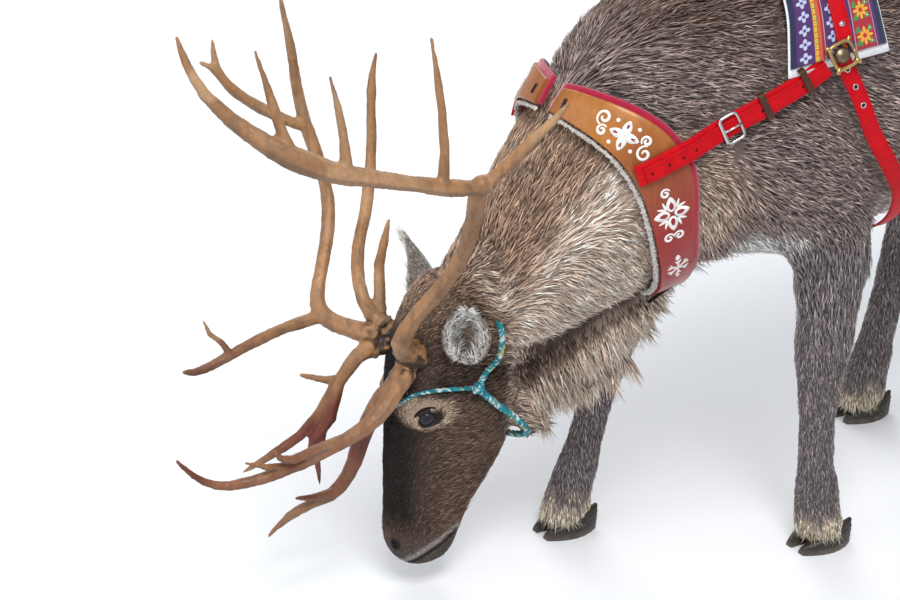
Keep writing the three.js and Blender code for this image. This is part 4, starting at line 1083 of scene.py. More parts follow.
def new_tree(name, inputs):
    """An empty node tree with named inputs, and its first and last nodes."""
    tree = bpy.data.node_groups.new(name, "GeometryNodeTree")
    tree.interface.new_socket(name="Geometry", in_out="INPUT", socket_type="NodeSocketGeometry")
    for label, kind, value in inputs:
        socket = tree.interface.new_socket(name=label, in_out="INPUT", socket_type=f"NodeSocket{kind}")
        if value is not None:
            socket.default_value = value
    tree.interface.new_socket(name="Geometry", in_out="OUTPUT", socket_type="NodeSocketGeometry")
    return tree, tree.nodes.new("NodeGroupInput"), tree.nodes.new("NodeGroupOutput")


def add_node(tree, kind, values=None, **settings):
    """A new node of a kind, with its settings and with values at its inputs."""
    node = tree.nodes.new(kind)
    for key, value in settings.items():
        setattr(node, key, value)
    for socket, value in (values or {}).items():
        node.inputs[socket].default_value = value
    return node


def join(tree, *links):
    """Links in a node tree: each from a node and its output to a node and its input."""
    for start, output, end, socket in links:
        tree.links.new(start.outputs[output], end.inputs[socket])


def finish_tree(tree, start, end, place):
    """Makes the instances real, smooth and of the given material."""
    real = add_node(tree, "GeometryNodeRealizeInstances")
    smooth = add_node(tree, "GeometryNodeSetShadeSmooth")
    colour = add_node(tree, "GeometryNodeSetMaterial")
    join(tree, (place, "Instances", real, 0), (real, 0, smooth, "Geometry"), (smooth, 0, colour, "Geometry"),
         (start, "Material", colour, "Material"), (colour, 0, end, 0))
    return tree


def stitch_tree():
    """Stitches in a row along a path."""
    tree, start, end = new_tree("row of stitches", (
        ("Pitch", "Float", 0.005), ("Length", "Float", 0.0034), ("Width", "Float", 0.0009),
        ("Material", "Material", None)))
    curve = add_node(tree, "GeometryNodeMeshToCurve")
    even = add_node(tree, "GeometryNodeResampleCurve", mode="LENGTH")
    thread = add_node(tree, "GeometryNodeMeshIcoSphere", {"Radius": 0.5, "Subdivisions": 1})
    tangent = add_node(tree, "GeometryNodeInputTangent")
    aim = add_node(tree, "FunctionNodeAlignRotationToVector", axis="Z")
    size = add_node(tree, "ShaderNodeCombineXYZ")
    place = add_node(tree, "GeometryNodeInstanceOnPoints")
    join(tree, (start, "Geometry", curve, "Mesh"), (curve, "Curve", even, "Curve"),
         (start, "Pitch", even, "Length"), (even, "Curve", place, "Points"), (thread, "Mesh", place,
                                                                              "Instance"),
         (tangent, "Tangent", aim, "Vector"), (aim, "Rotation", place, "Rotation"),
         (start, "Width", size, "X"), (start, "Width", size, "Y"), (start, "Length", size, "Z"),
         (size, "Vector", place, "Scale"))
    return finish_tree(tree, start, end, place)


def stud_tree(hollow):
    """Eyelets, or flat dots, facing away from what they sit on."""
    tree, start, end = new_tree("eyelets" if hollow else "dots", (
        ("Radius", "Float", 0.003), ("Thickness", "Float", 0.0009), ("Material", "Material", None)))
    if hollow:
        ring = add_node(tree, "GeometryNodeCurvePrimitiveCircle", {"Resolution": 18})
        wire = add_node(tree, "GeometryNodeCurvePrimitiveCircle", {"Resolution": 7})
        form = add_node(tree, "GeometryNodeCurveToMesh")
        join(tree, (start, "Radius", ring, "Radius"), (start, "Thickness", wire, "Radius"),
             (ring, "Curve", form, "Curve"), (wire, "Curve", form, "Profile Curve"))
    else:
        form = add_node(tree, "GeometryNodeMeshCylinder", {"Vertices": 14})
        join(tree, (start, "Radius", form, "Radius"), (start, "Thickness", form, "Depth"))
    facing = add_node(tree, "GeometryNodeInputNamedAttribute", {"Name": "facing"}, data_type="FLOAT_VECTOR")
    aim = add_node(tree, "FunctionNodeAlignRotationToVector", axis="Z")
    place = add_node(tree, "GeometryNodeInstanceOnPoints")
    join(tree, (start, "Geometry", place, "Points"), (form, "Mesh", place, "Instance"),
         (facing, "Attribute", aim, "Vector"), (aim, "Rotation", place, "Rotation"))
    return finish_tree(tree, start, end, place)


def curl_tree():
    """Small curls of fleece scattered over a surface."""
    tree, start, end = new_tree("fleece curls", (
        ("Density", "Float", 60000.0), ("Size", "Float", 0.0022), ("Seed", "Int", 3),
        ("Material", "Material", None)))
    spread = add_node(tree, "GeometryNodeDistributePointsOnFaces")
    curl = add_node(tree, "GeometryNodeMeshIcoSphere", {"Radius": 1.0, "Subdivisions": 2})
    turn = add_node(tree, "FunctionNodeRandomValue", {"Max": (6.28, 6.28, 6.28)}, data_type="FLOAT_VECTOR")
    vary = add_node(tree, "FunctionNodeRandomValue", {"Min": (0.5, 0.6, 0.9), "Max": (0.9, 1.0, 1.9)},
                    data_type="FLOAT_VECTOR")
    size = add_node(tree, "ShaderNodeVectorMath", operation="SCALE")
    place = add_node(tree, "GeometryNodeInstanceOnPoints")
    join(tree, (start, "Geometry", spread, "Mesh"), (start, "Density", spread, "Density"),
         (start, "Seed", spread, "Seed"), (spread, "Points", place, "Points"), (curl, "Mesh", place,
                                                                                "Instance"),
         (turn, "Value", place, "Rotation"), (vary, "Value", size, 0), (start, "Size", size, "Scale"),
         (size, "Vector", place, "Scale"))
    return finish_tree(tree, start, end, place)


def by_nodes(name, source, tree, values, facing=None):
    """A plain mesh from what a node tree makes of a source mesh."""
    if facing is not None:
        layer = source.attributes.new("facing", "FLOAT_VECTOR", "POINT")
        layer.data.foreach_set("vector", np.asarray(facing, np.float32).ravel())
    ob = bpy.data.objects.new(name, source)
    bpy.context.scene.collection.objects.link(ob)
    modifier = ob.modifiers.new("Nodes", "NODES")
    modifier.node_group = tree
    for item in tree.interface.items_tree:
        if item.in_out == "INPUT" and item.name in values:
            modifier[item.identifier] = values[item.name]
    made = bpy.data.meshes.new_from_object(ob.evaluated_get(bpy.context.evaluated_depsgraph_get()))
    ob.modifiers.remove(modifier)
    bpy.data.objects.remove(ob)
    return made


def wires(paths):
    """A mesh of bare edges along paths in millimetres."""
    points, edges = [], []
    for path in paths:
        start = len(points)
        points += ((np.asarray(path) + SHIFT) / 1000).tolist()
        edges += [(start + i, start + i + 1) for i in range(len(path) - 1)]
    mesh = bpy.data.meshes.new("wires")
    mesh.from_pydata(points, edges, [])
    return mesh


def shader_group(name, inputs, outputs):
    """An empty group of shader nodes with named sockets."""
    group = bpy.data.node_groups.new(name, "ShaderNodeTree")
    for label, kind, value in inputs:
        socket = group.interface.new_socket(name=label, in_out="INPUT", socket_type=f"NodeSocket{kind}")
        if value is not None:
            socket.default_value = value
    for label, kind in outputs:
        group.interface.new_socket(name=label, in_out="OUTPUT", socket_type=f"NodeSocket{kind}")
    return group, group.nodes.new("NodeGroupInput"), group.nodes.new("NodeGroupOutput")


def grain_group():
    """A fine uneven shade and height, shared by all the finishes."""
    if "grain" in bpy.data.node_groups:
        return bpy.data.node_groups["grain"]
    group, start, end = shader_group(
        "grain",
        (("Vector", "Vector", None), ("Scale", "Float", 300.0), ("Low", "Float", 0.8),
         ("High", "Float", 1.2)),
        (("Shade", "Float"), ("Height", "Float")))
    noise = add_node(group, "ShaderNodeTexNoise", {"Detail": 4.0, "Roughness": 0.6})
    wide = add_node(group, "ShaderNodeTexNoise", {"Detail": 2.0})
    share = add_node(group, "ShaderNodeMath", {1: 0.13}, operation="MULTIPLY")
    both = add_node(group, "ShaderNodeMath", operation="ADD")
    spread = add_node(group, "ShaderNodeMapRange", {"From Min": 0.6, "From Max": 1.4})
    join(group, (start, "Vector", noise, "Vector"), (start, "Scale", noise, "Scale"),
         (start, "Vector", wide, "Vector"), (start, "Scale", share, 0), (share, 0, wide, "Scale"),
         (noise, "Fac", both, 0), (wide, "Fac", both, 1), (both, 0, spread, "Value"),
         (start, "Low", spread, "To Min"), (start, "High", spread, "To Max"),
         (spread, "Result", end, "Shade"), (noise, "Fac", end, "Height"))
    return group


def new_material(name, values):
    """A material with values for its surface, its node tree and its surface node."""
    mat = bpy.data.materials.new(name)
    mat.use_nodes = True
    shader = mat.node_tree.nodes["Principled BSDF"]
    for socket, value in values.items():
        shader.inputs[socket].default_value = value
    return mat, mat.node_tree, shader


def add_bump(tree, shader, source, output, strength, distance):
    """Fine relief on a surface, from the height that a node gives."""
    lumps = add_node(tree, "ShaderNodeBump", {"Strength": strength, "Distance": distance})
    join(tree, (source, output, lumps, "Height"), (lumps, "Normal", shader, "Normal"))


def finish(name, colour, rough, metal=0.0, scale=300.0, low=0.8, high=1.2, bump=0.3, depth=0.0006,
           stretch=(1, 1, 1), attribute=None, coat=0.0, sheen=0.0, gloss=0.3):
    """A material of one colour, or of a mesh's own tint, with a grain of its own size."""
    mat, tree, shader = new_material(name, {
        "Roughness": rough, "Metallic": metal, "Specular IOR Level": gloss, "Coat Weight": coat,
        "Coat Roughness": 0.12, "Sheen Weight": sheen})
    place = add_node(tree, "ShaderNodeTexCoord")
    pull = add_node(tree, "ShaderNodeVectorMath", {1: stretch}, operation="MULTIPLY")
    grain = add_node(tree, "ShaderNodeGroup", node_tree=grain_group())
    for label, value in (("Scale", scale), ("Low", low), ("High", high)):
        grain.inputs[label].default_value = value
    product = add_node(tree, "ShaderNodeVectorMath", {0: colour}, operation="SCALE")
    join(tree, (place, "Object", pull, 0), (pull, "Vector", grain, "Vector"),
         (grain, "Shade", product, "Scale"), (product, "Vector", shader, "Base Color"))
    if attribute:
        tint = add_node(tree, "ShaderNodeAttribute", attribute_name=attribute)
        join(tree, (tint, "Color", product, 0))
    if bump:
        add_bump(tree, shader, grain, "Height", bump, depth)
    return mat


COLLAR = (
    (5, -10, 27), (22, -26, 23), (40, -50, 15), (55, -64, 13), (72, -65, 18),
    (86, -54, 25), (102, -35, 32), (122, -21, 38), (146, -17, 42), (172, -15, 40),
)
COLLAR_FORWARD = -unit(np.array([0.878, 0.0, 0.479]))
COLLAR_UP = unit(np.cross(COLLAR_FORWARD, LEFT))
COLLAR_MIDDLE = np.array([-290.0, 0.0, 715.0])
BOARD_HIGH = 17.6
TRACE = (
    (-336, 784, 20), (-318, 791, 20), (-290, 803, 20), (-262, 813, 17), (-236, 822, 7),
    (-191, 838, 3), (-148, 858, 3), (-101, 880, 3), (-62, 899, 3), (-36, 914, 3),
)
GIRTH = (
    (33, -12), (25, 2), (15, 18), (5, 34), (-5, 58), (-15, 88), (-25, 116), (-40, 138), (-60, 150), (-90,
                                                                                                     155),
)
PAD = ((33, -92, 68), (45, -82, 68), (60, -70, 68), (90, -62, 68))
PAD_TOP = 13.0
FITTING_PLACE = (-14, 33)


def collar_grid(side, name, columns=11):
    """Places and normals on the coat under the collar: rows down it, columns from rear to front."""
    tree = node_tree([f"collar_board_{name}"])
    rows = smooth_rows(COLLAR, 6)
    rows[0, 0] += 0.6
    rows[-1, 0] -= 0.8
    grid = np.zeros((len(rows), columns, 3))
    for r, (degrees, rear, front) in enumerate(rows):
        angle = math.radians(degrees) * side
        way = COLLAR_UP * math.cos(angle) + LEFT * math.sin(angle)
        for c, t in enumerate(np.linspace(0.05, 0.95, columns)):
            inside = COLLAR_MIDDLE + COLLAR_FORWARD * (rear + (front - rear) * t)
            found = cast(tree, inside, way)
            crown = 1.5 * math.sin(math.pi * t)
            grid[r, c] = (found[0] if found else grid[max(r - 1, 0),
                                                      c] + way * BOARD_HIGH) - way * (BOARD_HIGH + crown)
    wide = (grid[:, -1] - grid[:, 0]) / 0.9 * 0.05
    step = np.linspace(-1, 1, columns)[None, :, None]
    grid = grid + step * wide[:, None]
    grid = evened(grid, 6)
    normals = unit(np.cross(np.gradient(grid, axis=0), np.gradient(grid, axis=1)))
    out = grid - COLLAR_MIDDLE
    if (normals * out).sum() < 0:
        normals = -normals
    return grid, normals


def widened(grid, normals, rear, front, top=0.0):
    """The grid pulled past its rear, front and first row by lengths in millimetres."""
    way = unit(grid[:, -1] - grid[:, 0])
    t = np.linspace(0, 1, grid.shape[1])[None, :, None]
    grid = grid - way[:, None] * rear * (1 - t) + way[:, None] * front * t
    if top:
        up = unit(grid[0] - grid[1])
        grid = np.concatenate([(grid[0] + up * top)[None], grid])
        normals = np.concatenate([normals[:1], normals])
    return grid, normals


def on_grid(grid, normals, row, across):
    """Place, normal and two directions on a grid, at a share of its rows and its columns."""
    n, m = grid.shape[:2]
    r, c = row * (n - 1), across * (m - 1)
    i, j = min(int(r), n - 2), min(int(c), m - 2)
    u, v = r - i, c - j
    near = grid[i, j] * (1 - u) + grid[i + 1, j] * u
    far = grid[i, j + 1] * (1 - u) + grid[i + 1, j + 1] * u
    place = near * (1 - v) + far * v
    down = unit(grid[i + 1, j] - grid[i, j])
    normal = unit(normals[i, j])
    forward = unit(np.cross(normal, down))
    if forward @ (grid[i, m - 1] - grid[i, 0]) < 0:
        forward = -forward
    return place, normal, down, forward


def stroke(path, widths):
    """A flat painted line: its left and right edge along a path in two dimensions."""
    path = np.asarray(path, float)
    along = np.gradient(path, axis=0)
    along /= np.maximum(np.linalg.norm(along, axis=1, keepdims=True), 1e-9)
    side = np.stack([-along[:, 1], along[:, 0]], 1) * np.asarray(widths, float)[:, None] / 2
    return path + side, path - side


def scroll(at, start, turn, size, turns=1.3, width=2.6):
    """A spiral stroke from an end point, round to its eye."""
    t = np.linspace(0, 1, 26)
    angle = math.radians(start) + turn * t * turns * 2 * math.pi
    radius = size * (1 - t * 0.78)
    path = np.stack([np.cos(angle), np.sin(angle)], 1) * radius[:, None]
    return stroke(path + at, width * (0.45 + 0.75 * np.sin(np.pi * np.clip(t * 0.9 + 0.05, 0, 1))))


def leaf(at, degrees, length, width, steps=13):
    """A petal that starts near a point and ends in a tip."""
    t = np.linspace(0, 1, steps)
    way = np.array([math.cos(math.radians(degrees)), math.sin(math.radians(degrees))])
    path = np.asarray(at) + way * (t * length)[:, None]
    return stroke(path, width * np.sin(np.pi * t ** 0.8) ** 0.7 + 0.15)


def dot(at, radius):
    """A round painted spot."""
    t = np.linspace(-1, 1, 11)
    path = np.stack([t * radius, np.zeros(11)], 1) + at
    return stroke(path, 2 * radius * np.sqrt(np.maximum(1 - t * t, 0)) + 0.1)


def painted(name, shapes, grid, normals, row, across, lift, tree):
    """Raised painted shapes set on a curved board."""
    place, normal, down, forward = on_grid(grid, normals, row, across)
    parts = []
    for left, right in shapes:
        loops = []
        for a, b in zip(left, right):
            spots = []
            for x, y in (a, (a + b) / 2, b):
                spot = place + forward * x + down * y
                near, up = tree.find_nearest(Vector(spot + normal * lift))[:2]
                spots.append((np.array(near), np.array(up)))
            loops.append([s + n * 0.55 for s, n in spots] + [s - n * 0.6 for s, n in spots[::-1]])
        parts.append(closed_loft("mark", np.array(loops)))
    return merged(name, parts)


def colour_of(key):
    """A colour that the panel holds."""
    return tuple(getattr(bpy.context.scene.reindeer_colours, key))


class REINDEER_OT_antlers(bpy.types.Operator):
    """Antlers: one even horn surface for each side, grooved, with a knobbly root"""

    bl_idname = "reindeer.antlers"
    bl_label = "Antlers"

    def execute(self, context):
        horn = finish("horn", (1, 1, 1), 0.52, scale=150.0, low=0.72, high=1.25, bump=0.5, depth=0.0012,
                      attribute="tint", coat=0.12)
        base, red = np.array(colour_of("horn")), np.array(colour_of("horn_red"))
        for side, way in (("left", 1), ("right", -1)):
            names = [f"antler_{side}_{part}" for part in ANTLERS[side]]
            whole = welded(names, 1.0)
            bm = bmesh.new()
            bm.from_mesh(whole)
            for place in TINE_JOINTS[side]:
                made = bmesh.ops.create_icosphere(bm, subdivisions=3, radius=0.016)
                bmesh.ops.translate(bm, verts=made["verts"], vec=Vector((np.array(place) + SHIFT) / 1000))
            bm.to_mesh(whole)
            bm.free()
            mesh = remeshed(whole, ANTLER_VOXEL, 3)
            points = rounded(arrays(mesh)[0], edges_of(mesh), 12)
            triangles = arrays(triangulated(mesh))[1]
            normals = point_normals(points, triangles)
            f, l, h = in_head(points)
            root = np.linalg.norm(np.stack([f + 34, l - 36 * way, h - 438], 1), axis=1)
            burr = 1 - smoothstep(22, 62, root)
            rough = value_noise(points, 7.0, 11) - 0.45
            groove = value_noise(points * [1, 1, 0.35], 5.0, 12) - 0.5
            lump = value_noise(points, 34.0, 13) - 0.5
            points = points + normals * (-0.4 + burr * rough * 15 + burr * 4.5 + groove * 1.1 + lump
                                         * 2.0)[:, None]
            low = smoothstep(452, 300, h) * smoothstep(-10, 40, f)
            brow = np.clip(low * 1.3 + smoothstep(120, 330, f) * (h < 470), 0, 1)
            stain = np.clip(brow * (0.55 + (value_noise(points, 60.0, 14) - 0.35) * 1.5), 0, 0.92)
            velvet = burr * smoothstep(0.45, 0.62, value_noise(points, 11.0, 15))
            tip = smoothstep(880, 1060, h)
            shade = 1 + (value_noise(points, 90.0, 16) - 0.5)[:, None] * 0.5
            tint = base * shade * (1 - tip * 0.2)[:, None]
            streak = smoothstep(0.5, 0.8, value_noise(points * [1, 1, 0.2], 9.0, 19)) * 0.45
            tint = mixed(tint, [0.13, 0.075, 0.04], streak)
            pale = smoothstep(0.55, 0.8, value_noise(points, 50.0, 18)) * 0.35
            tint = mixed(tint, [0.50, 0.33, 0.19], pale)
            tint = mixed(tint, red * (0.7 + 0.8 * value_noise(points, 24.0, 17)[:, None]), stain)
            tint = mixed(tint, [0.022, 0.013, 0.01], velvet)
            # Painted shade: the horn's colour is darkened by up to 0.38 on faces that point down.
            under = 1 - 0.38 * smoothstep(0.1, -0.8, normals[:, 2])
            out = triangle_mesh(f"antler_{side}", points, triangles)
            paint(out, tint * under[:, None], "tint")
            piece(f"antler_{side}", out, horn, names)
        return {"FINISHED"}


# The lids from the ball outwards: height over the ball and distance from its opening.
LID_STEPS = (
    (-1.6, -0.6), (0.6, -0.8), (1.6, 0.0), (1.9, 1.2), (1.4, 2.6), (0.2, 4.0), (-2.0, 5.4), (-5.5, 6.0), (-6.0, 2.0),
)


class REINDEER_OT_eyes(bpy.types.Operator):
    """Eyes: a wet dark ball on each side, in a ring of lids"""

    bl_idname = "reindeer.eyes"
    bl_label = "Eyes"

    def execute(self, context):
        wet = finish("eye", (1, 1, 1), 0.03, scale=500.0, low=0.9, high=1.1, bump=0.0, attribute="tint",
                     gloss=0.35)
        rim = finish("lid", (0.010, 0.007, 0.006), 0.6, scale=900.0, bump=0.5, depth=0.0005)
        for side, way in (("left", 1), ("right", -1)):
            centre = eye_point(way)
            out = unit(HEAD_LEFT * way + HEAD_FORWARD * 0.42 + UP * 0.10)
            upward = unit(UP - out * (UP @ out))
            ahead = np.cross(upward, out) * way
            ahead = ahead if ahead @ HEAD_FORWARD > 0 else -ahead
            tilt = math.radians(24)
            long = ahead * math.cos(tilt) - upward * math.sin(tilt)
            tall = ahead * math.sin(tilt) + upward * math.cos(tilt)
            rings = []
            for phi in np.linspace(0.02, math.pi - 0.02, 40):
                angle = np.linspace(0, 2 * math.pi, 56, endpoint=False)
                ring = out * math.cos(phi) + math.sin(phi) * (
                    long * np.cos(angle)[:, None] + tall * np.sin(angle)[:, None])
                rings.append(centre + ring * (EYE_RADIUS - 0.1 + 1.2 * max(math.cos(phi) - 0.72, 0)))
            ball = closed_loft(f"eye_{side}", np.array(rings))
            points = arrays(ball)[0] - centre
            a, b = points @ long / EYE_RADIUS, points @ tall / EYE_RADIUS
            front = points @ out > 0
            pupil = (1 - smoothstep(0.8, 1.1, np.hypot(a / 0.42, b / 0.22))) * front
            iris = (1 - smoothstep(0.62, 0.80, np.hypot(a, b))) * front
            tint = mixed(np.tile([0.035, 0.028, 0.024], (len(points), 1)), [0.020, 0.018, 0.024], iris)
            tint = mixed(tint, [0.004, 0.005, 0.012], pupil)
            paint(ball, tint, "tint")
            piece(f"eye_{side}", ball, wet, [f"eye_{side}"])
            angle = np.linspace(0, 2 * math.pi, 72, endpoint=False)
            half = np.where(np.sin(angle) > 0, 0.60,
                            0.50) * np.abs(np.sin(angle)) ** 0.85 * np.sign(np.sin(angle))
            reach = 0.90 * np.cos(angle)
            flat = np.stack([reach, half], 1)
            depth = np.sqrt(np.maximum(1 - (flat ** 2).sum(1), 0.03))
            ring = centre + (long * flat[:, :1] + tall * flat[:, 1:] + out * depth[:, None]) * (EYE_RADIUS
                                                                                                + 0.5)
            away = unit(long * flat[:, :1] + tall * flat[:, 1:])
            more = np.where(np.sin(angle) > 0, 1.25, 0.9)[:, None]
            rows = [ring + out * lift * more + away * spread * more for lift, spread in LID_STEPS]
            loops = np.array(rows).transpose(1, 0, 2)
            n, k = loops.shape[:2]
            r, s = np.meshgrid(np.arange(n), np.arange(k), indexing="ij")
            p, q = r * k + s, ((r + 1) % n) * k + s
            p2, q2 = r * k + (s + 1) % k, ((r + 1) % n) * k + (s + 1) % k
            triangles = np.stack([p, q, q2, p, q2, p2], -1).reshape(-1, 3)
            flesh = loops.reshape(-1, 3)
            lids = triangle_mesh(f"lids_{side}", flesh, facing_out(flesh, triangles, centre))
            piece(f"lids_{side}", lids, rim)
        return {"FINISHED"}


class REINDEER_OT_ears(bpy.types.Operator):
    """Ears: furred cups, pale inside"""

    bl_idname = "reindeer.ears"
    bl_label = "Ears"

    def execute(self, context):
        hide = coat_material("ear_skin", 0.8, 0.5)
        skull = tree_of(HIDE.points, HIDE.triangles)
        fur = coat_material("ear_fur", 0.6, 0.0)
        rng = np.random.default_rng(context.scene.reindeer_coat.seed + 4)
        for side, (root, tip, mouth) in zip(("left", "right"), EAR_WAYS):
            mesh = triangulated(remeshed(welded([f"ear_{side}"], 0.5), EAR_VOXEL))
            points, triangles = arrays(mesh)
            edges = edges_of(mesh)
            points = rounded(points, edges, 14)
            normals = point_normals(points, triangles)
            height = (points - root) @ tip / 130.0
            axis = root + tip * (height * 130)[:, None] + mouth * 12
            inner = smoothstep(-0.1, 0.35, (normals * unit(axis - points)).sum(1))
            inner = np.clip(spread_out(inner[:, None], edges, 2)[:, 0], 0, 1)
            across = np.cross(tip, mouth)
            out_spread = np.abs((points - root) @ across) / 37.0
            depth = (points - root) @ mouth
            # Painted shade: inside the cup, towards its back wall and halfway up the ear, the hair is darkened by up
            # to a quarter.
            hollow_shade = inner * (1 - smoothstep(-34, -12, depth))
            roots = mixed(np.array([0.08, 0.066, 0.056]), [0.62, 0.52, 0.42], inner)
            tips = mixed(np.array([0.40, 0.36, 0.32]), [0.96, 0.93, 0.89], inner)
            shade = (1 - 0.25 * hollow_shade * smoothstep(0.35, 0.6,
                                                  height) * (1 - smoothstep(0.7, 0.9, height)))[:, None]
            roots, tips = roots * shade, tips * shade
            push = np.zeros_like(points)
            for i in np.nonzero(inner > 0.2)[0]:
                near, up = skull.find_nearest(points[i].tolist())[:2]
                gap = (points[i] - np.array(near)) @ np.array(up)
                push[i] = np.array(up) * max(0.0, 13.0 - gap) * min(1.0, inner[i] * 1.5)
            points = points + spread_out(push, edges, 4)
            normals = point_normals(points, triangles)
            mesh = triangle_mesh(f"ear_{side}", points, triangles)
            paint(mesh, roots * 0.6 + tips * 0.4)
            piece(f"ear_{side}", mesh, hide, [f"ear_{side}"])
            rows = np.zeros((len(points), 5))
            rows[:, 3] = 190000 * 1.0
            cup = SimpleNamespace(points=points, triangles=triangles, rows=rows)
            weight = np.ones(len(points))
            picks, bary = sow(cup, weight, rng, 1.0)
            spots = blended(points, cup, picks, bary)
            up = unit(blended(normals, cup, picks, bary))
            pale = blended(inner, cup, picks, bary)
            reach = blended(out_spread, cup, picks, bary)
            aside = np.sign((spots - root) @ across)[:, None] * across
            lay = np.tile(tip, (len(spots), 1)) + aside * -0.8 * pale[:, None]
            lay = unit(lay - up * (lay * up).sum(1, keepdims=True))
            length = (9 + 21 * pale) * rng.uniform(0.6, 1.25, len(spots))
            width = (1.3 + 0.5 * pale) * rng.uniform(0.75, 1.2, len(spots))
            rise = 0.22 + 0.25 * pale
            high = np.clip((spots - root) @ tip / 2600 + 0.93, 0.93, 0.995)
            tufts = grow(f"ear_hair_{side}", spots, up, lay, length, width, rise,
                         blended(roots, cup, picks, bary), blended(tips, cup, picks, bary),
                         np.stack([0.02 + reach * 0.02, high], 1), rng)
            piece(f"ear_hair_{side}", tufts, fur)
        tag = finish("ear_tag", (0.42, 0.55, 0.44), 0.35, scale=400.0, low=0.9, high=1.1, bump=0.1)
        root, tip, mouth = EAR_WAYS[1]
        across = np.cross(tip, mouth)
        tree = node_tree(["ear_right"])
        found = cast(tree, root + tip * 42 + across * 4, mouth)
        middle = (found[0] if found else root + tip * 42) + mouth * 3.0
        loops = []
        for x, tall in ((-6, 7.5), (-5.4, 8.5), (5.4, 8.5), (6, 7.5)):
            spot = middle + across * x
            loops.append([spot + tip * a * tall + mouth * b for a, b in ((1, 1), (-1, 1), (-1, -1), (1, -1))])
        piece("ear_tag", sharp(closed_loft("ear_tag", np.array(loops))), tag)
        return {"FINISHED"}


class REINDEER_OT_hooves(bpy.types.Operator):
    """Hooves and dewclaws, with growth rings"""

    bl_idname = "reindeer.hooves"
    bl_label = "Hooves"

    def execute(self, context):
        horn = finish("hoof", (1, 1, 1), 0.45, scale=260.0, low=0.65, high=1.35, bump=0.5, depth=0.0008,
                      stretch=(0.6, 0.6, 3.0), attribute="tint", coat=0.1)
        base = np.array(colour_of("hoof"))
        for foot, (cx, _) in FEET.items():
            for kind in ("outer", "inner", "dew"):
                if kind == "dew":
                    node, rounds = f"dewclaws_{foot}", 5
                    mesh = triangulated(welded([node], 0.1), 2)
                else:
                    node, rounds = f"claw_{foot}_{kind}", 9
                    mesh = triangulated(remeshed(welded([node], 0.2), HOOF_VOXEL))
                points, triangles = arrays(mesh)
                flat = points[:, 2] < 1.5
                smooth = rounded(points, edges_of(mesh), rounds)
                normals = point_normals(smooth, triangles)
                ahead = -(smooth[:, 0] - cx)
                ring = np.sin((smooth[:, 2] * 0.9 + ahead * 0.25) * 0.9) * 0.35
                points = smooth + normals * ring[:, None] * (smooth[:, 2] > 6)[:, None]
                points[:, 2] = np.where(flat, 0.0, np.maximum(points[:, 2], 0.0))
                worn = (1 - smoothstep(2, 14, points[:, 2])) * (0.4 + value_noise(points, 9.0, 21))
                tint = base * (1 + 0.8 * value_noise(points * [1, 1, 3], 14.0, 22)[:, None])
                tint = mixed(tint, [0.17, 0.14, 0.115], worn * 0.5)
                out = triangle_mesh(node, points, triangles)
                paint(out, tint, "tint")
                piece(f"hoof_{foot}_{kind}", out, horn, [node])
        return {"FINISHED"}


